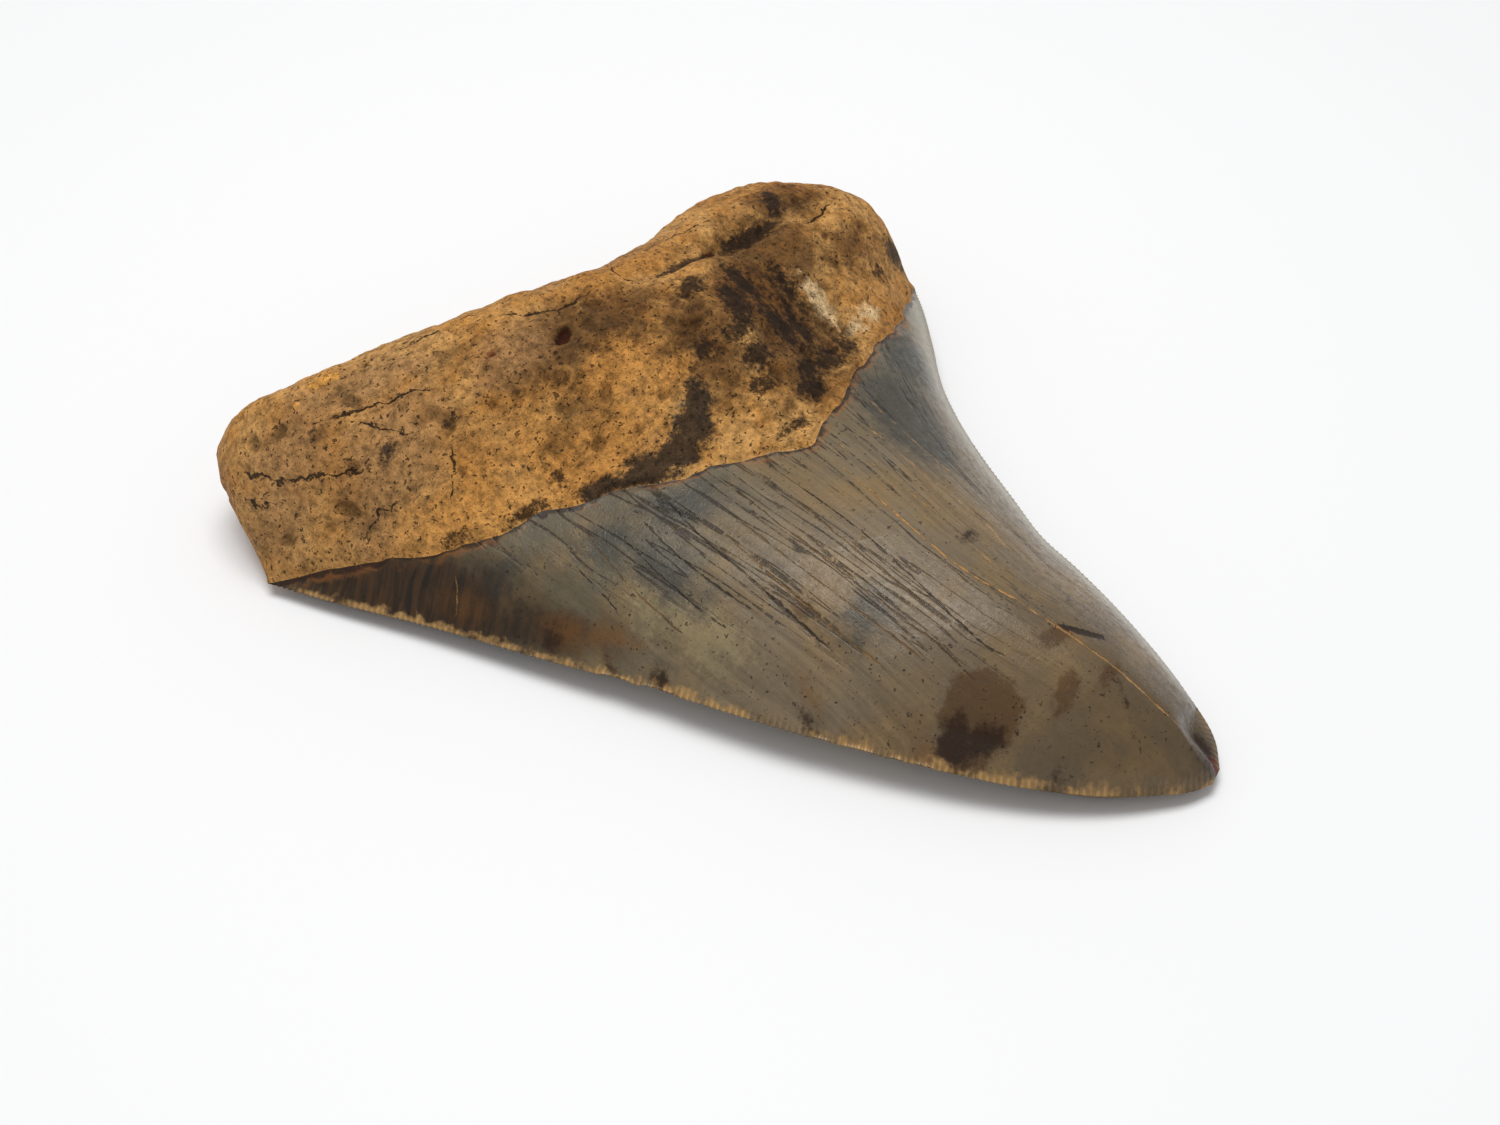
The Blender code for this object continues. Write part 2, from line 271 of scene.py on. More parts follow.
def patches(kind: StainKind, *rows: tuple[float, ...], face: Face = Face.LINGUAL) -> list[Stain]:
    """Stains of one kind on one face, from the middle, half sizes and angle of each."""
    return [Stain(kind, *row, face) for row in rows]


@dataclass(frozen=True)
class ToothForm:
    """The tooth's form in mm from its tip: +X across, +Y to the root, +Z up from the table."""

    left_edge: Points = (
        (-0.9, -0.1, 1.6), (-3.2, 0.9, 1.8), (-6.4, 3.4, 2.3), (-10.4, 7.4, 2.9),
        (-14.4, 12.8, 3.5),
        (-17.7, 18.7, 4.0), (-21.2, 26.6, 4.3), (-24.3, 34.7, 4.4), (-29.5, 52.3, 3.8),
        (-32.2, 61.0, 3.2), (-36.9, 76.4, 2.4), (-41.8, 90.6, 1.8), (-43.3, 95.7, 1.7),
    )
    right_edge: Points = (
        (1.2, 0.3, 1.6), (3.8, 2.3, 1.9), (7.3, 8.3, 2.8), (11.0, 17.5, 3.9), (13.8, 26.4, 4.5),
        (15.0, 31.1, 4.7), (18.1, 37.3, 4.8), (23.4, 46.9, 4.7), (29.1, 54.8, 4.4),
        (35.7, 61.2, 4.1),
        (41.0, 66.4, 3.6), (44.4, 70.3, 3.2),
    )
    left_root_side: Points = (
        (-43.3, 95.7, 1.7), (-42.3, 98.5, 3.4), (-41.2, 101.9, 5.2), (-40.1, 105.1, 6.8),
        (-38.4, 108.3, 7.8), (-35.8, 110.2, 8.2),
    )
    right_root_side: Points = (
        (44.4, 70.3, 3.2), (45.3, 73.3, 4.4), (45.4, 76.8, 5.8), (44.7, 80.0, 7.0),
        (43.4, 83.0, 7.8),
        (41.2, 85.6, 8.2),
    )
    basal_margin: Points = (
        (-35.8, 110.2, 8.2), (-32.4, 110.3, 8.3), (-26.2, 107.7, 8.6), (-20.6, 105.2, 8.8),
        (-10.5, 100.0, 9.2), (-0.6, 95.1, 9.4), (8.6, 92.0, 9.3), (14.6, 92.5, 9.1),
        (21.0, 94.0, 9.0),
        (26.4, 94.4, 8.8), (31.0, 93.3, 8.6), (35.0, 91.5, 8.4), (38.6, 88.9, 8.3),
        (41.2, 85.6, 8.2),
    )
    lingual_border: Points = (
        (-43.3, 95.7), (-40.2, 91.8), (-36.0, 85.5), (-31.2, 78.0), (-24.5, 72.2), (-17.0, 65.9),
        (-10.5, 60.4), (-4.5, 55.4), (0.4, 52.6), (5.6, 54.2), (13.4, 57.6), (21.8, 60.3),
        (29.0, 62.4),
        (35.6, 65.4), (44.4, 70.3),
    )
    labial_border: Points = (
        (-43.3, 95.7), (-34.0, 89.0), (-20.0, 81.6), (-4.0, 75.6), (12.0, 71.4), (28.0, 69.6),
        (44.4, 70.3),
    )
    crown_stations: tuple[float, ...] = (0.0, 0.05, 0.12, 0.25, 0.45, 0.7, 1.0)
    crown_rise: tuple[float, ...] = (0.6, 2.4, 4.6, 7.8, 10.8, 13.0, 14.2)
    crown_spine: float = 0.56
    crown_fullness: float = 1.22
    root_stations: tuple[float, ...] = (0.0, 0.2, 0.45, 0.7, 1.0)
    root_rise: tuple[float, ...] = (13.0, 15.2, 15.8, 14.8, 12.8)
    root_rounding: float = 10.0
    root_rounding_below: float = 8.0
    lobe_rise: float = 0.62
    lobe_fullness: float = 1.3
    bone_takes_over: float = 0.42
    root_relief: Points = (
        (-6.0, 80.0, 26.0, 9.0, -22.0, 1.3),
        (9.0, 79.4, 7.5, 1.9, 0.0, -0.9),
        (20.0, 78.4, 6.5, 2.0, -12.0, -1.3),
        (14.5, 67.5, 11.0, 4.8, 82.0, -1.6),
        (32.0, 78.0, 9.0, 8.0, 0.0, 0.9),
        (-9.1, 80.6, 1.9, 1.3, 0.0, -1.1),
        (-20.0, 72.0, 1.0, 1.8, 0.0, -0.8),
        (-28.5, 86.0, 6.0, 1.6, 75.0, -0.5),
        (30.5, 75.8, 4.5, 1.3, 8.0, -0.6),
    )
    crown_drop: float = 6.4
    crown_drop_fullness: float = 1.25
    crown_drop_start: float = 0.15
    table_ease: float = 1.2
    root_hollow: float = 1.6
    root_hollow_fade: int = 4
    ledge_height: float = 0.7
    ledge_height_at_left: float = 1.4
    ledge_left_reach: float = 0.22
    ledge_start: float = 0.05
    ledge_foot: float = 0.03
    tip_crease_x: tuple[float, ...] = (-0.6, -1.3, -1.5, -1.4)
    tip_crease_y: tuple[float, ...] = (0.0, 1.5, 3.3, 5.2)
    tip_break_top: float = 6.2
    tip_break_fade: float = 2.5
    tip_break_slope: float = 0.75
    tip_break_share: float = 0.72

    def border(self, face: Face) -> Points:
        """Where bone meets enamel on a face."""
        return self.lingual_border if face is Face.LINGUAL else self.labial_border

    def root_rim(self) -> np.ndarray:
        """The rim round the root, corner to corner, as one path.

        Returns:
            One row for each point, from the left corner to the right one.
        """
        left = smooth_path(self.left_root_side, count=24)
        right = smooth_path(self.right_root_side, count=24)
        return np.concatenate([left, smooth_path(self.basal_margin, count=60)[1:-1], right[::-1]])

    def middle(self) -> np.ndarray:
        """Middle of the plan's box: the point over the frame's origin.

        Returns:
            Its x and y, in mm.
        """
        rim = [smooth_path(self.left_edge), smooth_path(self.right_edge), self.root_rim()]
        plan = np.concatenate(rim)[:, :2]
        return (plan.min(0) + plan.max(0)) / 2

    def _patch(
        self, start: Points, end: Points, sides: tuple[Points, Points], u: np.ndarray, v: np.ndarray
    ) -> np.ndarray:
        """Coons patch in plan between four curves.

        Args:
            start: The curve at v = 0.
            end: The curve at v = 1.
            sides: The curves at u = 0 and at u = 1.
            u: Shares across.
            v: Shares along.

        Returns:
            A grid of x and y, a row for each v.
        """
        first = smooth_path(start, at=u)[None, :, :2]
        last = smooth_path(end, at=u)[None, :, :2]
        port, starboard = (smooth_path(side, at=v)[:, None, :2] for side in sides)
        u = u[None, :, None]
        v = v[:, None, None]
        whole = np.array([0.0, 1.0])
        low = smooth_path(start, at=whole)[:, :2]
        high = smooth_path(end, at=whole)[:, :2]
        corners = (1 - v) * ((1 - u) * low[0] + u * low[1]) + v * ((1 - u) * high[0] + u * high[1])
        return (1 - v) * first + v * last + (1 - u) * port + u * starboard - corners

    def _levels(self, left: Points, right: Points, u: np.ndarray, v: np.ndarray) -> np.ndarray:
        """Height of the rim under each grid point, level across from side to side.

        Args:
            left: The rim's left side.
            right: The rim's right side.
            u: Shares across.
            v: Shares along.

        Returns:
            A grid of heights, a row for each v.
        """
        port = smooth_path(left, at=v)[:, None, 2]
        starboard = smooth_path(right, at=v)[:, None, 2]
        return (1 - u) * port + u * starboard

    def _crown_section(self, u: np.ndarray) -> np.ndarray:
        """Share of the crown's rise across one row: a dome with thin blades at both edges."""
        spine = np.minimum(u / self.crown_spine, (1 - u) / (1 - self.crown_spine))
        return (1 - (1 - spine) ** 2) ** self.crown_fullness

    def _soft_floor(self, height: np.ndarray) -> np.ndarray:
        """The height, eased onto the table where it would go below it.

        Args:
            height: Heights in mm, some of them below the table.

        Returns:
            The heights, none below 0.
        """
        ease = self.table_ease
        eased = (height + ease) ** 2 / (4 * ease)
        return np.where(height > ease, height, np.where(height > -ease, eased, 0.0))

    def _relief(self, plan: np.ndarray) -> np.ndarray:
        """Height of the root's hills and hollows.

        Args:
            plan: A grid of x and y.

        Returns:
            A grid of heights, in mm.
        """
        total = np.zeros(plan.shape[:2])
        for x, y, along, across, angle, height in self.root_relief:
            total += height * np.exp(-(in_ellipse(plan, x, y, along, across, angle) ** 2))
        return total

    def _ledge(self, u: np.ndarray) -> np.ndarray:
        """How far the bone stands proud of the enamel along the border.

        Args:
            u: Shares across, from the left corner.

        Returns:
            One height for each, in mm.
        """
        near_left = 1 - smooth_step(u / self.ledge_left_reach)
        ends = smooth_step(u / self.ledge_start) * smooth_step((1 - u) / self.ledge_start)
        return (self.ledge_height + self.ledge_height_at_left * near_left) * ends

    def _tip_break(self, plan: np.ndarray) -> np.ndarray:
        """Height that the broken facet takes off the tip, to the right of its crease.

        Args:
            plan: A grid of x and y.

        Returns:
            A grid of heights, in mm.
        """
        past_crease = plan[..., 0] - np.interp(plan[..., 1], self.tip_crease_y, self.tip_crease_x)
        fade = smooth_step((self.tip_break_top - plan[..., 1]) / self.tip_break_fade)
        return self.tip_break_slope * np.clip(past_crease, 0.0, None) * fade

    def crown(self, face: Face, u: np.ndarray, v: np.ndarray) -> np.ndarray:
        """Points of the crown's skin on one face.

        Args:
            face: Which face.
            u: Shares across, from the long cutting edge to the short one.
            v: Shares along, from the tip to the border.

        Returns:
            A grid of points, a row for each v.
        """
        tip = (self.left_edge[0], self.right_edge[0])
        plan = self._patch(tip, self.border(face), (self.left_edge, self.right_edge), u, v)
        level = self._levels(self.left_edge, self.right_edge, u, v)
        if face is Face.LINGUAL:
            rise = np.interp(v, self.crown_stations, self.crown_rise)[:, None]
            rise = rise * self._crown_section(u)
            lost = np.minimum(self._tip_break(plan), self.tip_break_share * rise)
            return np.dstack([plan, level + rise - lost])
        drop = self.crown_drop * smooth_step(v / self.crown_drop_start)[:, None]
        dome = (4 * u * (1 - u)) ** self.crown_drop_fullness
        return np.dstack([plan, self._soft_floor(level - drop * dome)])

    def root(self, face: Face, u: np.ndarray, v: np.ndarray) -> np.ndarray:
        """Points of the root's skin on one face.

        Args:
            face: Which face.
            u: Shares across, from the left side to the right.
            v: Shares along, from the border to the basal margin.

        Returns:
            A grid of points, a row for each v.
        """
        plan = self._patch(
            self.border(face), self.basal_margin, (self.left_root_side, self.right_root_side), u, v
        )
        gap = nearest_on(self.root_rim(), plan.reshape(-1, 2))[0].reshape(plan.shape[:2])
        radius = self.root_rounding if face is Face.LINGUAL else self.root_rounding_below
        rounding = np.sqrt(1 - (1 - np.clip(gap / radius, 0.0, 1.0)) ** 2)
        along = v[:, None]
        sides = self._levels(self.left_root_side, self.right_root_side, u, v)
        level = (1 - along) * sides + along * smooth_path(self.basal_margin, at=u)[None, :, 2]
        edge_level = self._levels(self.left_edge, self.right_edge, u, np.array([1.0]))
        bone = 1 - (1 - np.clip(along / self.bone_takes_over, 0.0, 1.0)) ** 2
        if face is Face.LINGUAL:
            lobes = np.sin(math.pi * u) ** self.lobe_fullness
            lobes = self.lobe_rise + (1 - self.lobe_rise) * lobes
            rise = np.interp(v, self.root_stations, self.root_rise)[:, None] * lobes
            enamel_like = edge_level + self.crown_rise[-1] * self._crown_section(u)
            height = (1 - bone) * enamel_like + bone * (level + rise * rounding)
            height += self._ledge(u) * smooth_step(along / self.ledge_foot) * (1 - bone)
            height += self._relief(plan) * rounding * bone
        else:
            across = (4 * u * (1 - u)) ** self.crown_drop_fullness
            enamel_like = self._soft_floor(edge_level - self.crown_drop * across)
            hollow = self.root_hollow * np.sin(math.pi * u) ** self.root_hollow_fade
            height = (1 - bone) * enamel_like + bone * level * (1 - rounding)
            height += hollow * np.sin(math.pi * along)
        return np.dstack([plan, height])


def linear_rgb(hex_colour: str) -> tuple[float, float, float, float]:
    """An sRGB hex colour as linear red, green, blue and alpha.

    Args:
        hex_colour: Six hex digits after a "#".

    Returns:
        The four values, with alpha 1.
    """
    values = [int(hex_colour[i : i + 2], 16) / 255 for i in (1, 3, 5)]
    red, green, blue = (c / 12.92 if c <= 0.04045 else ((c + 0.055) / 1.055) ** 2.4 for c in values)
    return (red, green, blue, 1.0)


@dataclass(frozen=True)
class StainLook:
    """How one kind of stain looks: colour, most it covers, and soft edge, raggedness, grain in mm."""

    colour: str
    cover: float
    softness: float
    ragged: float
    grain: float


class Finish:
    """A material being built, with the patterns that the tooth's two finishes share."""

    def __init__(self, name: str, fields: tuple[Enum, ...]) -> None:
        """Starts the material.

        Args:
            name: What the real material is.
            fields: Which of the mesh's stored values it uses.
        """
        self.material = bpy.data.materials.new(name)
        self.material.use_nodes = True
        self.tree = self.material.node_tree
        self.shader = self.tree.nodes["Principled BSDF"]
        in_metres = self.add("TexCoord", (), output="Object")
        self.place = self.add("VectorMath", {0: in_metres, "Scale": 1 / MM}, {"operation": "SCALE"})
        self.stored = {
            kept: self.add("Attribute", (), {"attribute_name": kept.value}, "Fac") for kept in fields
        }

    def add(
        self, kind: str, inputs: dict | tuple, settings: dict | None = None, output: int | str = 0
    ) -> bpy.types.NodeSocket:
        """Adds a shader node.

        Args:
            kind: The node's type, without "ShaderNode".
            inputs: A value, or a socket to link, for inputs in order or by name or number.
            settings: The node's properties.
            output: Which of its outputs to give.

        Returns:
            The output's socket.
        """
        node = self.tree.nodes.new("ShaderNode" + kind)
        for name, value in (settings or {}).items():
            setattr(node, name, value)
        for name, value in inputs.items() if isinstance(inputs, dict) else enumerate(inputs):
            if isinstance(value, bpy.types.NodeSocket):
                self.tree.links.new(value, node.inputs[name])
            else:
                node.inputs[name].default_value = value
        return node.outputs[output]

    def stain(
        self, colour: bpy.types.NodeSocket, kind: StainKind, look: StainLook
    ) -> bpy.types.NodeSocket:
        """Lays one kind of stain, or the painted shade, over a colour.

        Args:
            colour: What is under it.
            kind: Which stored patches to use.
            look: Its colour and edge.

        Returns:
            The stained colour.
        """
        inputs = {"Vector": self.place, "Scale": 1 / look.grain, "Detail": 7.0, "Roughness": 0.74}
        noise = self.add("TexNoise", inputs)
        uneven = self.add("MapRange", (noise, 0.28, 0.72, -look.ragged, look.ragged))
        depth = self.add("Math", (self.stored[kind], uneven), PLUS)
        share = self.add(
            "MapRange", (depth, -look.softness, look.softness, 0.0, look.cover), SMOOTH
        )
        return self.add(
            "Mix", {AMOUNT: share, UNDER: colour, OVER: linear_rgb(look.colour)}, COVER, RESULT
        )

    def cracks(self, wander: float, grain: float) -> bpy.types.NodeSocket:
        """Where the cracks are.

        Args:
            wander: How far they stray from their course, in mm.
            grain: How often, in mm.

        Returns:
            A share from 0 to 1.
        """
        noise = self.add("TexNoise", {"Vector": self.place, "Scale": 1 / grain, "Detail": 3.0})
        stray = self.add("MapRange", (noise, 0.3, 0.7, -wander, wander))
        off = self.add("Math", (self.stored[Field.CRACK], stray), PLUS)
        off = self.add("Math", (off,), {"operation": "ABSOLUTE"})
        inputs = {"Vector": self.place, "Scale": 0.9 / grain, "Detail": 4.0, "Roughness": 0.75}
        noise = self.add("TexNoise", inputs)
        broken = self.add("MapRange", (noise, 0.38, 0.58, -0.1, 0.03), SMOOTH)
        width = self.add("Math", (self.stored[Field.CRACK_WIDTH], broken), PLUS)
        return self.add("MapRange", (self.add("Math", (off, width), MINUS), 0.06, -0.04), SMOOTH)

    def specks(self, spacing: float, least: float) -> bpy.types.NodeSocket:
        """Small uneven specks.

        Args:
            spacing: About how far apart they can be, in mm.
            least: How high a noise must rise to make one: the higher, the fewer and smaller.

        Returns:
            1 inside a speck, 0 outside.
        """
        inputs = {"Vector": self.place, "Scale": 1 / spacing, "Detail": 2.0, "Roughness": 0.6}
        noise = self.add("TexNoise", inputs)
        return self.add("MapRange", (noise, least, least + 0.05), SMOOTH)

    def fill_cracks(
        self, colour: bpy.types.NodeSocket, cracks: bpy.types.NodeSocket,
        dark: str, iron: str, cover: float,
    ) -> bpy.types.NodeSocket:
        """Colours the cracks dark or with iron.

        Args:
            colour: What is around them.
            cracks: Where they are.
            dark: Colour of an open crack.
            iron: Colour of one that iron fills.
            cover: The most that this covers.

        Returns:
            The colour with its cracks.
        """
        noise = self.add("TexNoise", {"Vector": self.place, "Scale": 0.6, "Detail": 3.0})
        patchy = self.add("MapRange", (noise, 0.35, 0.6, 0.45, 1.2))
        share = self.add("Math", (self.stored[Field.CRACK_IRON], patchy), TIMES)
        filling = self.add(
            "Mix", {AMOUNT: share, UNDER: linear_rgb(dark), OVER: linear_rgb(iron)}, COVER, RESULT
        )
        share = self.add("Math", (cracks, cover), TIMES)
        return self.add("Mix", {AMOUNT: share, UNDER: colour, OVER: filling}, COVER, RESULT)

    def finish(
        self, colour: bpy.types.NodeSocket, roughness: bpy.types.NodeSocket,
        height: bpy.types.NodeSocket, strength: float,
    ) -> bpy.types.Material:
        """Links the shader.

        Args:
            colour: Base colour.
            roughness: Roughness.
            height: Fine relief in mm.
            strength: How much of the relief shows.

        Returns:
            The material.
        """
        bump = self.add("Bump", {"Strength": strength, "Distance": MM, "Height": height})
        for name, socket in (("Base Color", colour), ("Roughness", roughness), ("Normal", bump)):
            self.tree.links.new(socket, self.shader.inputs[name])
        return self.material


@dataclass(frozen=True)
class BoneFinish:
    """Mineralised bone: spongy root tissue turned to stone, tan to umber, matt, full of pores."""

    tan: str = "#C99757"
    brown: str = "#B07B3E"
    orange: str = "#BE8036"
    fibre: str = "#221406"
    # Colour of the pores, and of the painted shade in the carved hollows
    pore_and_hollow_shade: str = "#1F1206"
    crack: str = "#1C1106"
    iron: str = "#C2762A"
    specular: float = 0.2
    # Sizes of what varies in the bone, in mm: colour clouds of the dried tissue, smaller patches,
    # its grit, and soft bumps. Real pores are 0.1 to 0.3 mm, drawn coarser here so that they show
    clouds: float = 13.0
    patch: float = 4.2
    grit: float = 1.1
    bump: float = 1.6
    coarse_pores: float = 1.1
    fine_pores: float = 0.5
    crack_wander: float = 0.3
    crack_grain: float = 1.2
    # The fibres of the saddle: 0.6 mm wide and 4.5 mm long
    fibre_scale: tuple[float, float, float] = (1.6, 0.22, 1.0)
    fibre_turn: float = 0.12
    looks: tuple[tuple[StainKind, StainLook], ...] = (
        (StainKind.UMBER, StainLook("#442508", 0.76, 3.4, 3.8, 3.2)),
        (StainKind.GREY, StainLook("#A77D50", 0.7, 3.0, 2.0, 3.0)),
        (StainKind.OCHRE, StainLook("#CB8F48", 0.68, 2.4, 3.0, 2.2)),
        (StainKind.CHALK, StainLook("#E2C190", 0.9, 0.8, 1.5, 1.2)),
        (StainKind.SOOT, StainLook("#1E1208", 0.88, 0.8, 1.9, 0.9)),
        (StainKind.INK, StainLook("#2E251D", 0.92, 0.6, 1.3, 1.2)),
        (StainKind.RUST, StainLook("#5C1F0A", 0.9, 0.25, 0.3, 0.8)),
        (StainKind.FLAKE, StainLook("#E0A04C", 0.95, 0.15, 0.35, 0.9)),
    )

    def make(self) -> bpy.types.Material:
        """Builds the material.

        Returns:
            The material.
        """
        # Matt stone: no clear highlight, and the colour changes from patch to patch
        kinds = tuple(kind for kind, _ in self.looks)
        fields = (Field.CRACK, Field.CRACK_WIDTH, Field.CRACK_IRON, Field.HOLLOW, Field.FIBRE)
        made = Finish("mineralised_bone", (*fields, *kinds))
        place = made.place
        broad = made.add("TexNoise", {"Vector": place, "Scale": 1 / self.clouds, "Detail": 3.0})
        share = made.add("MapRange", (broad, 0.38, 0.62), SMOOTH)
        tan, brown = linear_rgb(self.tan), linear_rgb(self.brown)
        colour = made.add("Mix", {AMOUNT: share, UNDER: tan, OVER: brown}, COVER, RESULT)
        inputs = {"Vector": place, "Scale": 1 / self.patch, "Detail": 4.0, "Roughness": 0.6}
        share = made.add("MapRange", (made.add("TexNoise", inputs), 0.42, 0.7, 0.0, 0.6), SMOOTH)
        colour = made.add(
            "Mix", {AMOUNT: share, UNDER: colour, OVER: linear_rgb(self.orange)}, COVER, RESULT
        )
        for kind, look in self.looks:
            colour = made.stain(colour, kind, look)
        turn = (0.0, 0.0, self.fibre_turn)
        inputs = {"Vector": place, "Rotation": turn, "Scale": self.fibre_scale}
        drawn_out = made.add("Mapping", inputs)
        inputs = {"Vector": drawn_out, "Scale": 1.0, "Detail": 4.0, "Roughness": 0.7}
        fibres = made.add("TexNoise", inputs)
        fibres = made.add("MapRange", (fibres, 0.45, 0.62), SMOOTH)
        streaks = made.add("Math", (made.stored[Field.FIBRE], fibres), TIMES)
        share = made.add("Math", (streaks, 0.7), TIMES)
        colour = made.add(
            "Mix", {AMOUNT: share, UNDER: colour, OVER: linear_rgb(self.fibre)}, COVER, RESULT
        )
        inputs = {"Vector": place, "Scale": 1 / self.grit, "Detail": 6.0, "Roughness": 0.82}
        grit = made.add("TexNoise", inputs)
        shade = made.add("MapRange", (grit, 0.36, 0.64, 0.42, 1.5))
        colour = made.add("Mix", {AMOUNT: 1.0, UNDER: colour, OVER: shade}, SHADE, RESULT)
        coarse = made.specks(self.coarse_pores, 0.68)
        pores = made.add("Math", (coarse, made.specks(self.fine_pores, 0.62)), LARGER)
        share = made.add("Math", (pores, 0.8), TIMES)
        colour = made.add(
            "Mix", {AMOUNT: share, UNDER: colour, OVER: linear_rgb(self.pore_and_hollow_shade)}, COVER, RESULT
        )
        cracks = made.cracks(self.crack_wander, self.crack_grain)
        colour = made.fill_cracks(colour, cracks, self.crack, self.iron, 0.9)
        # Painted shade: darker the deeper the surface is carved in, in pits, grooves and round the rim
        share = made.add("MapRange", (made.stored[Field.HOLLOW], -0.05, -0.55, 0.0, 0.55), SMOOTH)
        colour = made.add(
            "Mix", {AMOUNT: share, UNDER: colour, OVER: linear_rgb(self.pore_and_hollow_shade)}, COVER, RESULT
        )
        roughness = made.add("MapRange", (grit, 0.3, 0.7, 0.9, 0.66))
        inputs = {"Vector": place, "Scale": 1 / self.bump, "Detail": 3.0, "Roughness": 0.6}
        bumps = made.add("TexNoise", inputs)
        height = made.add("Math", (grit, 0.45), TIMES)
        for pattern, depth in ((bumps, 0.3), (pores, -0.16), (cracks, -0.25), (streaks, -0.12)):
            height = made.add("Math", (pattern, depth, height), TIMES_PLUS)
        made.shader.inputs["Specular IOR Level"].default_value = self.specular
        return made.finish(colour, roughness, height, 0.9)


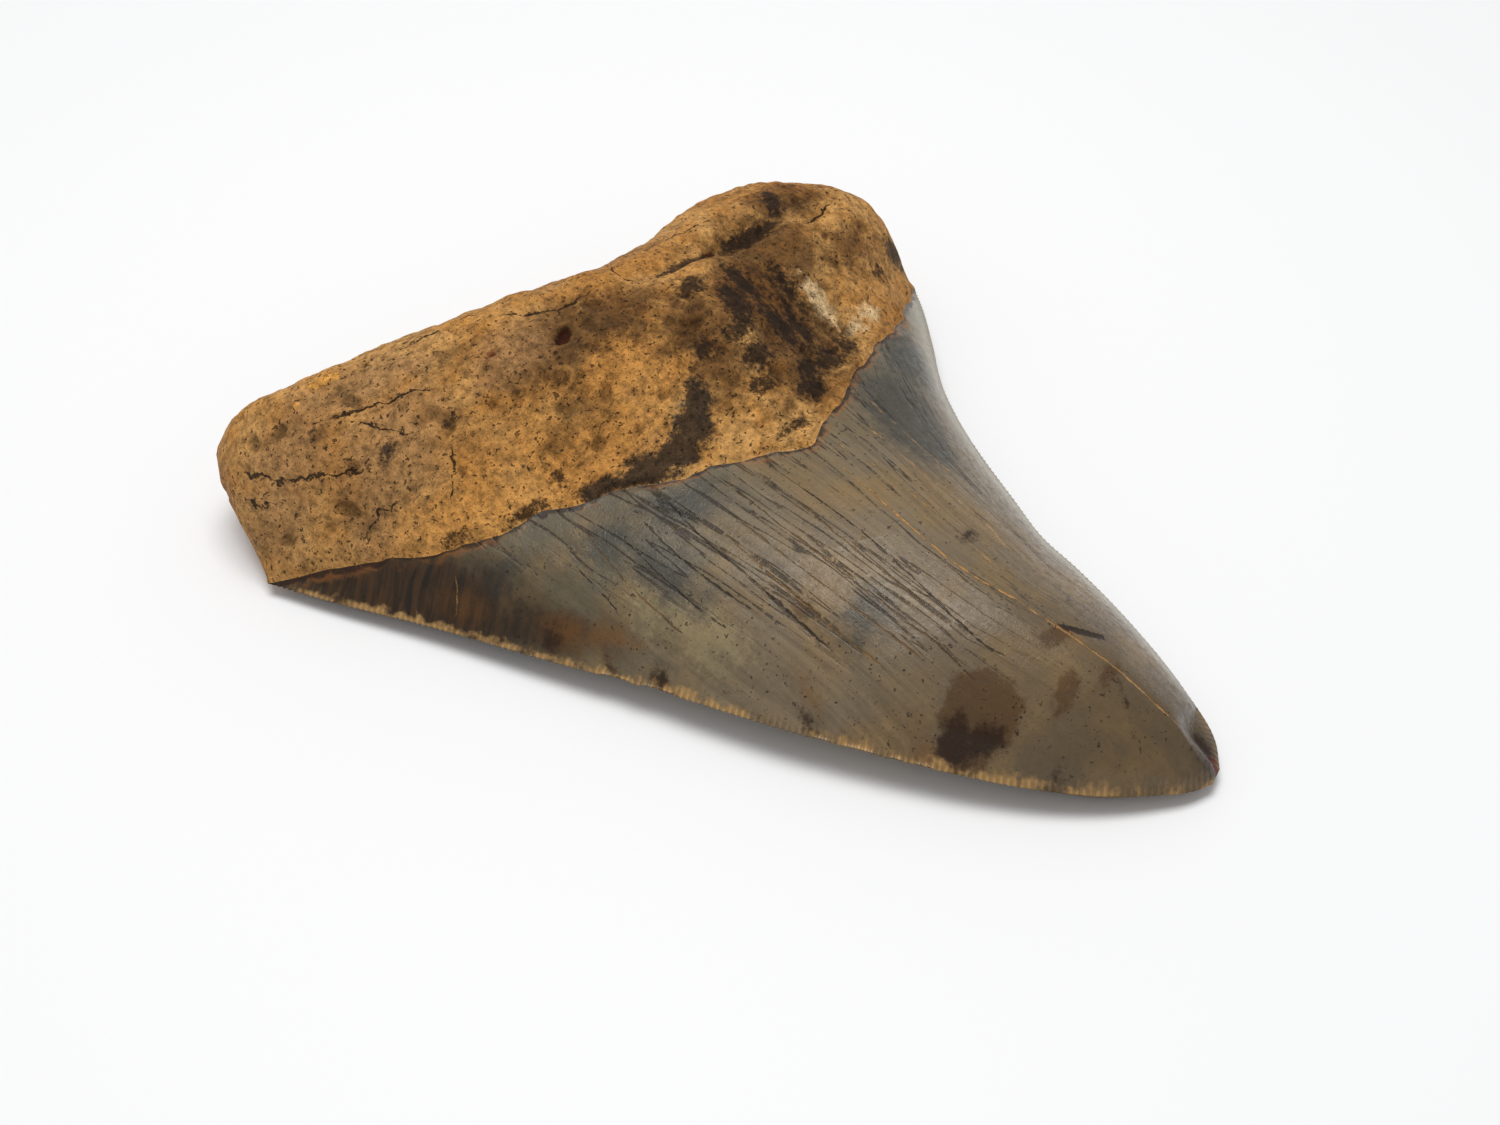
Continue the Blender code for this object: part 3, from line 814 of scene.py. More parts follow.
@dataclass(frozen=True)
class EnamelFinish:
    """Fossil enamel: dense grey-olive apatite, worn satin, with dark specks and growth lines."""

    near_root: str = "#5D5542"
    middle: str = "#776750"
    near_tip: str = "#5C4C36"
    warm: str = "#83683F"
    speck: str = "#15100B"
    crack: str = "#1D1107"
    iron: str = "#B98748"
    band_dark: str = "#140D07"
    band_amber: str = "#4C3015"
    edge_tan: str = "#B08A56"
    edge_notch: str = "#33200D"
    # Painted light: the strip along the right cutting edge is painted lighter
    right_edge_painted_light: str = "#B3AE9C"
    border_rust: str = "#8A5524"
    # Painted shadow: a dark line on the enamel just under the bone's ledge
    border_painted_shadow: str = "#1A0F06"
    specular: float = 0.3
    serration_pitch: float = SERRATION_PITCH
    # Sizes of what varies in the enamel, in mm: colour clouds, lines of growth, hairline cracks and
    # the beads that break them, mottle, clumps of specks, and wear, which is drawn coarser than the
    # real 0.05 mm scratches so that it shows. Then the corner's bands and the worn rim
    clouds: float = 9.0
    growth_lines: float = 0.9
    hairlines: float = 2.5
    beads: float = 1.1
    mottle: float = 0.9
    clumps: float = 5.0
    coarse_specks: float = 0.9
    fine_specks: float = 0.5
    wear: float = 0.3
    crack_wander: float = 0.1
    crack_grain: float = 1.6
    bands: float = 0.9
    rim_ragged: float = 1.4
    rim_wear: float = 4.5
    looks: tuple[tuple[StainKind, StainLook], ...] = (
        (StainKind.BLUE, StainLook("#34352F", 0.8, 3.0, 2.6, 3.0)),
        # SHADE is painted shade: dark along the left corner and over the tip's facet
        (StainKind.SHADE, StainLook("#1E150C", 0.86, 2.6, 1.2, 2.0)),
        (StainKind.AMBER, StainLook("#70481A", 0.6, 1.4, 1.2, 1.6)),
        (StainKind.SMEAR, StainLook("#A0906A", 0.5, 2.0, 2.2, 1.1)),
        (StainKind.UMBER, StainLook("#472A04", 0.66, 0.5, 0.9, 1.7)),
        (StainKind.BROWN, StainLook("#281300", 0.92, 0.6, 0.8, 1.2)),
        (StainKind.RUST, StainLook("#5C1F0A", 0.9, 0.3, 0.2, 0.8)),
    )

    def make(self) -> bpy.types.Material:
        """Builds the material.

        Returns:
            The material.
        """
        # Satin: a soft highlight broken by fine wear, over lengthwise lines of growth
        kinds = tuple(kind for kind, _ in self.looks)
        fields = (
            Field.CRACK, Field.CRACK_WIDTH, Field.CRACK_IRON, Field.GRAIN, Field.EDGE,
            Field.EDGE_RUN, Field.RIGHT_EDGE, Field.BORDER,
        )
        made = Finish("fossil_enamel", (*fields, *kinds))
        place = made.place
        along = made.add("SeparateXYZ", (place,), output=1)
        share = made.add("MapRange", (along, -50.0, -15.0), SMOOTH)
        colour = made.add("Mix", {
            AMOUNT: share, UNDER: linear_rgb(self.near_tip), OVER: linear_rgb(self.middle)
        }, COVER, RESULT)
        share = made.add("MapRange", (along, -18.0, 14.0), SMOOTH)
        colour = made.add(
            "Mix", {AMOUNT: share, UNDER: colour, OVER: linear_rgb(self.near_root)}, COVER, RESULT
        )
        broad = made.add("TexNoise", {"Vector": place, "Scale": 1 / self.clouds, "Detail": 3.0})
        share = made.add("MapRange", (broad, 0.4, 0.7, 0.0, 0.6), SMOOTH)
        colour = made.add(
            "Mix", {AMOUNT: share, UNDER: colour, OVER: linear_rgb(self.warm)}, COVER, RESULT
        )
        slow = made.add("Math", (along, 0.06), TIMES)
        drawn_out = made.add("CombineXYZ", (made.stored[Field.GRAIN], slow))
        scale = 1 / self.growth_lines
        inputs = {"Vector": drawn_out, "Scale": scale, "Detail": 4.0, "Roughness": 0.7}
        lines = made.add("TexNoise", inputs)
        shade = made.add("MapRange", (lines, 0.3, 0.7, 0.62, 1.3))
        from_tip = made.add("MapRange", (along, -46.0, -22.0), SMOOTH)
        share = made.add("Math", (from_tip, 0.62, 0.12), TIMES_PLUS)
        colour = made.add("Mix", {AMOUNT: share, UNDER: colour, OVER: shade}, SHADE, RESULT)
        for kind, look in self.looks:
            colour = made.stain(colour, kind, look)
        # Hairlines follow the growth: narrow bands where a drawn-out noise passes its middle
        inputs = {"Vector": drawn_out, "Scale": 1 / self.hairlines, "Detail": 3.0, "Roughness": 0.5}
        hairs = made.add("Math", (made.add("TexNoise", inputs), 0.5), MINUS)
        hairs = made.add("Math", (hairs,), {"operation": "ABSOLUTE"})
        hairs = made.add("MapRange", (hairs, 0.02, 0.006), SMOOTH)
        inputs = {"Vector": place, "Scale": 1 / self.beads, "Detail": 5.0, "Roughness": 0.8}
        beads = made.add("MapRange", (made.add("TexNoise", inputs), 0.38, 0.54), SMOOTH)
        hairs = made.add("Math", (hairs, beads), TIMES)
        inner = made.add("MapRange", (made.stored[Field.EDGE], 3.0, 9.0), SMOOTH)
        hairs = made.add("Math", (made.add("Math", (hairs, inner), TIMES), from_tip), TIMES)
        share = made.add("Math", (hairs, 0.8), TIMES)
        colour = made.add(
            "Mix", {AMOUNT: share, UNDER: colour, OVER: linear_rgb(self.crack)}, COVER, RESULT
        )
        inputs = {"Vector": place, "Scale": 1 / self.mottle, "Detail": 5.0, "Roughness": 0.8}
        mottle = made.add("TexNoise", inputs)
        shade = made.add("MapRange", (mottle, 0.3, 0.7, 0.7, 1.25))
        colour = made.add("Mix", {AMOUNT: 0.55, UNDER: colour, OVER: shade}, SHADE, RESULT)
        clumps = made.add("TexNoise", {"Vector": place, "Scale": 1 / self.clumps, "Detail": 2.0})
        clumps = made.add("MapRange", (clumps, 0.35, 0.65, 0.2, 0.85), SMOOTH)
        coarse = made.specks(self.coarse_specks, 0.67)
        specks = made.add("Math", (coarse, made.specks(self.fine_specks, 0.64)), LARGER)
        specks = made.add("Math", (specks, clumps), TIMES)
        colour = made.add(
            "Mix", {AMOUNT: specks, UNDER: colour, OVER: linear_rgb(self.speck)}, COVER, RESULT
        )
        colour, notches = self._edges(made, colour)
        cracks = made.cracks(self.crack_wander, self.crack_grain)
        colour = made.fill_cracks(colour, cracks, self.crack, self.iron, 0.88)
        roughness = made.add("MapRange", (mottle, 0.36, 0.64, 0.48, 0.2))
        wear = made.add("TexNoise", {"Vector": place, "Scale": 1 / self.wear, "Detail": 2.0})
        height = made.add("Math", (lines, 0.06), TIMES)
        relief = ((mottle, 0.06), (wear, 0.04), (hairs, -0.06), (cracks, -0.12), (notches, -0.1))
        for pattern, depth in relief:
            height = made.add("Math", (pattern, depth, height), TIMES_PLUS)
        made.shader.inputs["Specular IOR Level"].default_value = self.specular
        return made.finish(colour, roughness, height, 0.8)

    def _edges(
        self, made: Finish, colour: bpy.types.NodeSocket
    ) -> tuple[bpy.types.NodeSocket, bpy.types.NodeSocket]:
        """Colours the cutting edges, the streaked corner and the border, with painted light and shadow.

        Args:
            made: The finish being built.
            colour: What is under them.

        Returns:
            The colour, and where the notches between serrations are.
        """
        edge = made.stored[Field.EDGE]
        run = made.stored[Field.EDGE_RUN]
        right = made.stored[Field.RIGHT_EDGE]
        slow = made.add("Math", (edge, 0.16), TIMES)
        across = made.add("CombineXYZ", (run, slow))
        inputs = {"Vector": across, "Scale": 1 / self.bands, "Detail": 4.0, "Roughness": 0.65}
        streaks = made.add("MapRange", (made.add("TexNoise", inputs), 0.35, 0.65), SMOOTH)
        inner = made.add("Math", (edge, -2.0, run), TIMES_PLUS)
        corner = made.add("MapRange", (inner, 62.0, 80.0, 0.0, 0.6), SMOOTH)
        left = made.add("Math", (1.0, right), MINUS)
        corner = made.add("Math", (corner, left), TIMES)
        dark, amber = linear_rgb(self.band_dark), linear_rgb(self.band_amber)
        banded = made.add("Mix", {AMOUNT: streaks, UNDER: dark, OVER: amber}, COVER, RESULT)
        colour = made.add("Mix", {AMOUNT: corner, UNDER: colour, OVER: banded}, COVER, RESULT)
        # Painted light: a paler strip along the right cutting edge, where the crown falls away
        along = made.add("SeparateXYZ", (made.place,), output=1)
        whole = made.add("MapRange", (along, -51.0, -42.0), SMOOTH)
        blade = made.add("MapRange", (edge, 4.2, 0.8, 0.0, 0.6), SMOOTH)
        pale = made.add("Math", (made.add("Math", (blade, right), TIMES), whole), TIMES)
        colour = made.add(
            "Mix", {AMOUNT: pale, UNDER: colour, OVER: linear_rgb(self.right_edge_painted_light)}, COVER, RESULT
        )
        phase = made.add("Math", (run, 2 * math.pi / self.serration_pitch), TIMES)
        wave = made.add("Math", (phase,), {"operation": "COSINE"})
        inputs = {"Vector": made.place, "Scale": 1 / self.rim_ragged, "Detail": 3.0}
        noise = made.add("TexNoise", inputs)
        ragged = made.add("MapRange", (noise, 0.3, 0.7, -0.35, 0.35))
        rim = made.add("MapRange", (made.add("Math", (edge, ragged), PLUS), 0.85, 0.25), SMOOTH)
        near = made.add("MapRange", (edge, 1.3, 0.2), SMOOTH)
        notches = made.add("Math", (made.add("MapRange", (wave, 0.6, -0.8), SMOOTH), near), TIMES)
        strength = made.add("Math", (right, -0.6, 0.9), TIMES_PLUS)
        scale = 1 / self.rim_wear
        inputs = {"Vector": made.place, "Scale": scale, "Detail": 4.0, "Roughness": 0.7}
        worn = made.add("MapRange", (made.add("TexNoise", inputs), 0.42, 0.56, 0.12, 1.0), SMOOTH)
        share = made.add("Math", (made.add("Math", (rim, strength), TIMES), worn), TIMES)
        colour = made.add(
            "Mix", {AMOUNT: share, UNDER: colour, OVER: linear_rgb(self.edge_tan)}, COVER, RESULT
        )
        share = made.add("Math", (made.add("Math", (notches, rim), TIMES), 0.3), TIMES)
        colour = made.add(
            "Mix", {AMOUNT: share, UNDER: colour, OVER: linear_rgb(self.edge_notch)}, COVER, RESULT
        )
        border = made.add("Math", (made.stored[Field.BORDER], ragged), PLUS)
        rust = made.add("MapRange", (border, -1.1, -0.5, 0.0, 0.45), SMOOTH)
        rust = made.add("Math", (rust, worn), TIMES)
        colour = made.add(
            "Mix", {AMOUNT: rust, UNDER: colour, OVER: linear_rgb(self.border_rust)}, COVER, RESULT
        )
        # Painted shadow under the bone's ledge: a dark line on the enamel next to the border
        gap = made.add("MapRange", (border, -0.5, -0.15, 0.0, 0.8), SMOOTH)
        colour = made.add(
            "Mix", {AMOUNT: gap, UNDER: colour, OVER: linear_rgb(self.border_painted_shadow)}, COVER, RESULT
        )
        return colour, notches


@dataclass(frozen=True)
class Studio:
    """A pale table, soft light all round and the camera at the photograph's angle.

    The camera's distance and target are in the tooth's own mm, and the rest is in metres.
    """

    azimuth: float = -50.642
    elevation: float = 46.0
    distance: float = 212.19
    target: tuple[float, float, float] = (-7.948, 54.961, 3.5)
    lens: float = 45.6
    sensor: float = 36.0
    nearest_seen: float = 0.01
    table_colour: str = "#F1F1F1"
    table_roughness: float = 0.6
    table_size: float = 4.0
    sky_colour: str = "#F8F9FB"
    sky_strength: float = 0.5
    softbox_place: tuple[float, float, float] = (0.03, 0.07, 0.6)
    softbox_size: tuple[float, float] = (0.36, 0.3)
    softbox_watts: float = 2.6

    def camera(self, form: ToothForm) -> bpy.types.Object:
        """Adds the camera, placed in the tooth's own mm and then moved with the frame's origin.

        Args:
            form: The tooth's form, which knows the point over the frame's origin.

        Returns:
            The camera.
        """
        around = math.radians(self.azimuth)
        tilt = math.radians(self.elevation)
        level = math.cos(tilt)
        forward = Vector((-math.sin(around) * level, math.cos(around) * level, -math.sin(tilt)))
        right = Vector((math.cos(around), math.sin(around), 0.0))
        up = right.cross(forward)
        origin = Vector((*form.middle(), 0.0))
        place = (Vector(self.target) - forward * self.distance - origin) * MM
        data = bpy.data.cameras.new("camera")
        data.lens = self.lens
        data.sensor_width = self.sensor
        data.clip_start = self.nearest_seen
        camera = bpy.data.objects.new("camera", data)
        turn = Matrix((right, up, -forward)).transposed().to_4x4()
        camera.matrix_world = Matrix.Translation(place) @ turn
        bpy.context.scene.collection.objects.link(camera)
        bpy.context.scene.camera = camera
        return camera

    def table(self) -> bpy.types.Object:
        """Adds the table top.

        Returns:
            The table.
        """
        half = self.table_size / 2
        mesh = bpy.data.meshes.new("table")
        corners = [(-half, -half, 0), (half, -half, 0), (half, half, 0), (-half, half, 0)]
        mesh.from_pydata(corners, [], [(0, 1, 2, 3)])
        # Laminate: matt, with a faint sheen that catches the tooth's shadow softly
        material = bpy.data.materials.new("matt_white_laminate")
        material.use_nodes = True
        shader = material.node_tree.nodes["Principled BSDF"]
        shader.inputs["Base Color"].default_value = linear_rgb(self.table_colour)
        shader.inputs["Roughness"].default_value = self.table_roughness
        mesh.materials.append(material)
        table = bpy.data.objects.new("table", mesh)
        bpy.context.scene.collection.objects.link(table)
        return table

    def lights(self) -> None:
        """Adds an even sky, and one softbox overhead whose glint lies along the crown's crest."""
        world = bpy.data.worlds.new("studio")
        world.use_nodes = True
        back = world.node_tree.nodes["Background"]
        back.inputs["Color"].default_value = linear_rgb(self.sky_colour)
        back.inputs["Strength"].default_value = self.sky_strength
        bpy.context.scene.world = world
        bpy.context.scene.view_settings.view_transform = "Standard"
        data = bpy.data.lights.new("softbox", "AREA")
        data.shape = "RECTANGLE"
        data.size, data.size_y = self.softbox_size
        data.energy = self.softbox_watts
        light = bpy.data.objects.new("softbox", data)
        light.location = self.softbox_place
        light.rotation_euler = (-Vector(self.softbox_place)).to_track_quat("-Z", "Y").to_euler()
        bpy.context.scene.collection.objects.link(light)


@dataclass
class MeshParts:
    """Points and faces gathered before they become a mesh."""

    points: list[np.ndarray] = field(default_factory=list)
    faces: list[tuple[int, ...]] = field(default_factory=list)
    side_of: list[np.ndarray] = field(default_factory=list)
    bone_of: list[np.ndarray] = field(default_factory=list)
    bone_faces: list[bool] = field(default_factory=list)
    count: int = 0

    def add(self, points: np.ndarray, side: int, bone: bool) -> list[int]:
        """Adds points.

        Args:
            points: Their places in mm, with x, y and z last.
            side: 1, -1 or 0 for lingual, labial or rim.
            bone: Whether they are on the root.

        Returns:
            Their numbers.
        """
        flat = points.reshape(-1, 3)
        self.points.append(flat)
        self.side_of.append(np.full(len(flat), side))
        self.bone_of.append(np.full(len(flat), bone))
        numbers = list(range(self.count, self.count + len(flat)))
        self.count += len(flat)
        return numbers

    def stitch(self, inner: list[int], outer: list[int], where: np.ndarray, flip: bool) -> None:
        """Adds triangles between two rows of points, along the shorter diagonals.

        Args:
            inner: Numbers of one row's points.
            outer: Numbers of the other's, which starts and ends beside it.
            where: All the points' places.
            flip: Whether to turn the triangles round.
        """
        i = j = 0
        while i < len(inner) - 1 or j < len(outer) - 1:
            step_outer = i == len(inner) - 1
            if not step_outer and j < len(outer) - 1:
                to_outer = where[inner[i]] - where[outer[j + 1]]
                to_inner = where[inner[i + 1]] - where[outer[j]]
                step_outer = to_outer @ to_outer <= to_inner @ to_inner
            if step_outer:
                face = (inner[i], outer[j], outer[j + 1])
                j += 1
            else:
                face = (inner[i], outer[j], inner[i + 1])
                i += 1
            self.faces.append(face[::-1] if flip else face)

    def note_bone(self, bone: bool) -> None:
        """Marks the faces added since the last call as bone or enamel."""
        self.bone_faces.extend([bone] * (len(self.faces) - len(self.bone_faces)))


@dataclass
class Tooth:
    """The whole tooth as one fine mesh in place of the solid."""

    form: ToothForm = field(default_factory=ToothForm)
    bone: BoneFinish = field(default_factory=BoneFinish)
    enamel: EnamelFinish = field(default_factory=EnamelFinish)
    serration_pitch: float = SERRATION_PITCH
    serration_depth: float = 0.22
    serrations_fade: float = 2.5
    left_chips: tuple[Chip, ...] = (
        Chip(30.5, 2.4, 0.4), Chip(33.2, 1.6, 0.25), Chip(37.0, 4.0, 0.35), Chip(41.0, 2.4, 0.4),
        Chip(59.5, 4.0, 0.6), Chip(64.5, 3.6, 0.6),
    )
    right_chips: tuple[Chip, ...] = (
        Chip(13.0, 3.0, 0.4), Chip(54.0, 5.0, 0.5), Chip(66.0, 3.0, 0.4)
    )
    crown_rows: int = 300
    root_rows: int = 124
    crown_columns: tuple[int, int] = (120, 34)
    root_columns: tuple[int, int] = (250, 110)
    # Size, height and number of each layer of lumps, in mm
    bone_lumps: Points = ((8.0, 0.34, 1), (3.4, 0.26, 2), (1.5, 0.14, 3), (0.8, 0.09, 4))
    enamel_lumps: Points = ((13.0, 0.1, 7), (5.0, 0.05, 8))
    pit_depth: float = 0.4
    fibre_height: float = 0.16
    growth_height: float = 0.03
    bone_groove: float = 0.2
    enamel_groove: float = 0.07
    rust_pit: float = 0.5
    flake_height: float = 0.35
    rim_hollow: float = 0.12
    chip_scoop: float = 0.35
    labial_relief: float = 0.5
    fibres_at: tuple[float, ...] = (14.5, 68.0, 11.0, 7.5, 82.0)
    growth_axis_x: tuple[float, ...] = (-1.4, -3.3, -4.0, -3.2, -0.3, 3.0)
    growth_axis_y: tuple[float, ...] = (5.0, 20.0, 25.0, 35.0, 50.0, 70.0)
    growth_spread: tuple[float, ...] = (0.7, 0.78, 0.8, 0.85, 1.0, 1.15)
    crack_reach: float = 0.9
    # The photo's blur widens its cracks: this share of the widths below is the real crack
    crack_fineness: float = 0.62
    cracks: tuple[Crack, ...] = (
        Crack(((-32.3, 76.4), (-33.1, 75.3), (-35.4, 73.9)), 0.12, 0.7),
        Crack(((-28.0, 70.4), (-28.2, 68.5), (-28.5, 66.5)), 0.09),
        Crack(((-25.3, 66.8), (-26.2, 60.6), (-27.0, 55.4)), 0.07),
        Crack(((-21.2, 69.3), (-23.4, 62.1), (-24.7, 53.6), (-24.8, 48.0)), 0.1, 0.3),
        Crack(((-19.6, 66.5), (-21.0, 60.6), (-22.3, 50.0), (-22.3, 44.5)), 0.1),
        Crack(((-16.6, 65.4), (-18.4, 60.2), (-19.7, 50.4), (-19.6, 43.0)), 0.16),
        Crack(((-14.2, 62.9), (-15.9, 57.1), (-17.5, 45.7), (-18.5, 35.5)), 0.16),
        Crack(((-14.4, 55.2), (-15.8, 47.0), (-16.8, 37.0), (-17.0, 29.0)), 0.1, 0.4),
        Crack(((-12.4, 55.0), (-13.6, 46.0), (-14.2, 35.0), (-14.4, 24.8)), 0.1, 0.3),
        Crack(((-9.2, 58.8), (-10.8, 48.9), (-12.1, 37.1), (-12.6, 22.0)), 0.17, 0.15),
        Crack(((-6.2, 55.9), (-7.3, 49.1), (-9.0, 40.7), (-10.0, 30.0)), 0.12, 0.2),
        Crack(((-5.4, 52.0), (-6.5, 43.0), (-8.3, 33.4), (-9.6, 22.6), (-9.0, 20.0)), 0.14),
        Crack(
            ((0.2, 52.2), (-1.6, 43.9), (-4.2, 29.0), (-3.3, 20.6), (-2.4, 12.7), (-1.4, 5.0)), 0.2, 0.9
        ),
        Crack(((2.4, 52.6), (1.5, 43.5), (0.1, 35.0), (-1.6, 26.5)), 0.1, 0.9),
        Crack(((7.2, 52.6), (5.2, 41.3), (4.5, 34.0), (3.4, 30.0), (0.8, 26.5)), 0.1, 1.0),
        Crack(((-3.5, 19.4), (-2.2, 17.9), (-0.8, 16.4), (0.4, 15.2)), 0.95),
        Crack(((11.6, 55.8), (9.6, 46.0), (8.4, 38.5)), 0.09, 1.0),
        Crack(((-33.1, 96.2), (-30.5, 93.8), (-26.4, 90.4), (-22.6, 87.0)), 0.2),
        Crack(((-30.8, 93.2), (-29.0, 89.5), (-27.1, 85.8)), 0.17),
        Crack(((-40.4, 104.4), (-40.5, 99.0), (-39.0, 95.8)), 0.16),
        Crack(((-39.9, 103.2), (-37.9, 96.4), (-34.5, 91.6), (-31.4, 88.0)), 0.14),
        Crack(((-11.6, 88.0), (-8.2, 84.8), (-5.5, 82.9), (-1.2, 82.6)), 0.2),
        Crack(((3.8, 86.4), (2.0, 82.0), (2.2, 79.0)), 0.18),
        Crack(((27.0, 75.2), (30.0, 75.7), (34.0, 76.5)), 0.22),
        Crack(((-36.5, 86.9), (-34.0, 86.2), (-31.5, 83.8)), 0.13),
        Crack(((-29.4, 79.2), (-27.0, 80.6), (-25.0, 82.8)), 0.12),
        Crack(((-22.0, 95.5), (-16.0, 92.6), (-11.0, 89.8)), 0.13),
        Crack(((8.0, 84.5), (14.0, 84.0), (21.0, 83.2)), 0.12),
        Crack(((2.0, 72.0), (1.0, 52.0), (-2.0, 28.0)), 0.14, 0.3, Face.LABIAL),
        Crack(((-9.0, 76.0), (-10.5, 55.0), (-11.5, 33.0)), 0.12, 0.0, Face.LABIAL),
        Crack(((-18.0, 79.0), (-20.0, 62.0), (-21.0, 45.0)), 0.12, 0.6, Face.LABIAL),
        Crack(((14.0, 70.0), (10.0, 52.0), (6.0, 33.0)), 0.12, 0.0, Face.LABIAL),
        Crack(((25.0, 68.0), (20.0, 55.0)), 0.1, 0.8, Face.LABIAL),
        Crack(((-28.0, 98.0), (-16.0, 92.0), (-6.0, 90.0)), 0.2, 0.0, Face.LABIAL),
        Crack(((10.0, 86.0), (22.0, 84.0), (31.0, 86.0)), 0.18, 0.0, Face.LABIAL),
    )
    stains: tuple[Stain, ...] = (
        *patches(
            StainKind.UMBER,
            (-8, 79, 10, 4.6, -20), (12, 68, 9, 6, 60), (20, 75, 8, 7, 20), (29, 80, 7, 3.2, 0),
            (30, 71, 5, 2.2, 10), (1, 68, 7, 4.5, 60), (10, 62, 9, 4, 20),
            (-21, 89.4, 1.6, 0.9, -20), (-16.8, 87.2, 2, 0.9, -20), (-14.2, 20.4, 4, 3.4, -50),
            (-16.9, 40.6, 1.4, 0.8, 80), (-7.7, 14.5, 2, 1, 10), (-3.8, 12.3, 1.6, 0.8, 0),
            (-4.1, 18.4, 2.2, 1, -20),
        ),
        *patches(
            StainKind.GREY,
            (-37, 97, 5, 4.5, 0), (-29.8, 87, 7, 5, 0), (-27, 95, 8, 3.5, -30),
            (-14.1, 83.2, 5, 3, 0), (3, 88, 8, 2.5, -15),
        ),
        *patches(
            StainKind.OCHRE,
            (-31.5, 80, 4, 2.2, -55), (-25.9, 76, 4.5, 3, -40), (-20, 71.5, 4.5, 2.4, -40),
            (-13, 69.8, 4.8, 2.5, -30), (-18.7, 75.4, 2.6, 2, 0), (-8.6, 73.6, 3.4, 2.2, -20),
            (-5.5, 68.6, 3, 1.4, 0), (26.2, 91.6, 8, 2.5, -8), (9, 91, 9, 1.8, -5),
            (-1.5, 94, 7, 1.6, -25), (38, 84, 3, 3, 0),
        ),
        *patches(
            StainKind.CHALK,
            (19.4, 66.8, 2.6, 1.1, 80), (25.3, 64, 1.6, 0.8, 10), (21.5, 63, 1.6, 0.7, 20),
            (-6.7, 66.1, 0.4, 0.25, 30),
        ),
        *patches(
            StainKind.SOOT,
            (9.5, 79.3, 5, 0.7, 0), (20.8, 78.5, 4.4, 1.2, -12), (27.6, 80.8, 3, 1.2, 55),
            (12.4, 73, 3.4, 1.2, 80), (11, 66, 3, 1.8, 80), (41, 71.3, 4, 1.2, 20),
            (32.1, 68, 0.9, 0.7, 0), (0.4, 67.9, 1.5, 1, 0), (5.1, 67.3, 2, 1.2, 0),
            (4.5, 64.1, 2.3, 1.4, 20), (13.3, 60.7, 2.3, 1.6, 0), (17.2, 61.3, 2, 1.2, 10),
            (1.7, 61.3, 1.5, 0.9, 0), (7.3, 58.4, 2.4, 1.4, 20), (9.5, 60.5, 2, 1.2, 20),
            # The two thin ones along the border, at (-24.3, 72.6) and (-30.4, 78.2), are painted shadow
            # at the bone's edge
            (0.8, 55.6, 1.8, 0.8, -10), (-24.3, 72.6, 2.2, 0.5, -42), (-30.4, 78.2, 1, 0.4, -50),
            (8, 70, 4, 1.6, 60), (14, 66, 3.4, 0.9, 70), (17.5, 70.5, 3.4, 0.7, 75),
            (6, 75, 2.4, 1.2, 10), (-19.9, 71.9, 0.35, 0.9, 0),
        ),
        *patches(
            StainKind.INK,
            (-17.6, 67.4, 2.8, 1.1, -38), (-13.6, 64.9, 3.2, 1.7, -35), (-10, 63.4, 2.8, 2, -30),
            (-6.8, 63.8, 2, 2.3, 0), (-4.4, 65.2, 2.2, 1.4, 60), (-29.9, 87.5, 0.9, 0.6, 0),
            (-34, 95.4, 0.5, 0.4, 0), (-23.7, 83.7, 0.6, 0.5, 0),
        ),
        *patches(
            StainKind.RUST,
            (-9.1, 80.6, 1.2, 0.6, 20), (-16.2, 84.5, 0.5, 0.35, 0), (14.4, 79.6, 1.1, 0.4, 0),
            (0.9, 0.8, 1, 0.6, 30),
        ),
        *patches(StainKind.FLAKE, (-28.1, 99, 1.9, 0.7, -25), (-32.2, 99.2, 0.5, 0.25, 0)),
        *patches(
            StainKind.BLUE,
            (-21.5, 63, 4, 3, -40), (-14.3, 58.8, 4.5, 2.6, -35), (-21.2, 56, 5, 2.2, 85),
            (13, 49, 9, 5, 60), (24, 57, 7, 3, 30), (-29.9, 71.4, 3.5, 1.6, -50),
            (-14.8, 34.7, 2.4, 1.8, 0),
        ),
        # Painted shade: a band along the left corner under the ledge, and the broken facet at the tip
        *patches(
            StainKind.SHADE,
            (-36.5, 79.5, 14, 3.6, -71), (-31.5, 66, 8, 1.6, -72), (0.6, 2.4, 2.2, 1.2, 50),
        ),
        *patches(
            StainKind.AMBER,
            (-30.1, 62.2, 2.8, 1.1, -72), (-28.4, 57.6, 2.6, 0.9, -74), (-21.8, 36, 0.9, 0.25, 80),
            (-18.5, 22.6, 1.5, 0.3, 80), (-34, 74.5, 3, 0.8, -72), (-19.3, 22.6, 2.2, 0.8, 72),
        ),
        *patches(
            StainKind.SMEAR,
            (-25, 54.6, 2, 1.1, 85), (-24.3, 48.8, 3.2, 1.2, 85), (-22.8, 46.2, 2.6, 1, 85),
        ),
        *patches(
            StainKind.BROWN,
            (-17.3, 21, 2, 1.7, 20), (-15.4, 18.9, 2.2, 0.9, -50), (0.5, 32.4, 1.1, 0.7, 0),
            (2.3, 20.7, 0.5, 0.3, 0), (-4.3, 9.5, 0.9, 0.14, 60), (-12.8, 11.6, 0.6, 0.4, 0),
            (-31.2, 63.1, 1.2, 0.8, 80), (-28.4, 50.2, 1.6, 0.8, 75), (0.9, 2, 2.2, 1, 52),
            (-23.3, 34.6, 0.9, 0.4, 80), (-30, 55.4, 1.4, 0.35, 75),
        ),
        *patches(StainKind.UMBER, (4, 84, 14, 6, -10), face=Face.LABIAL),
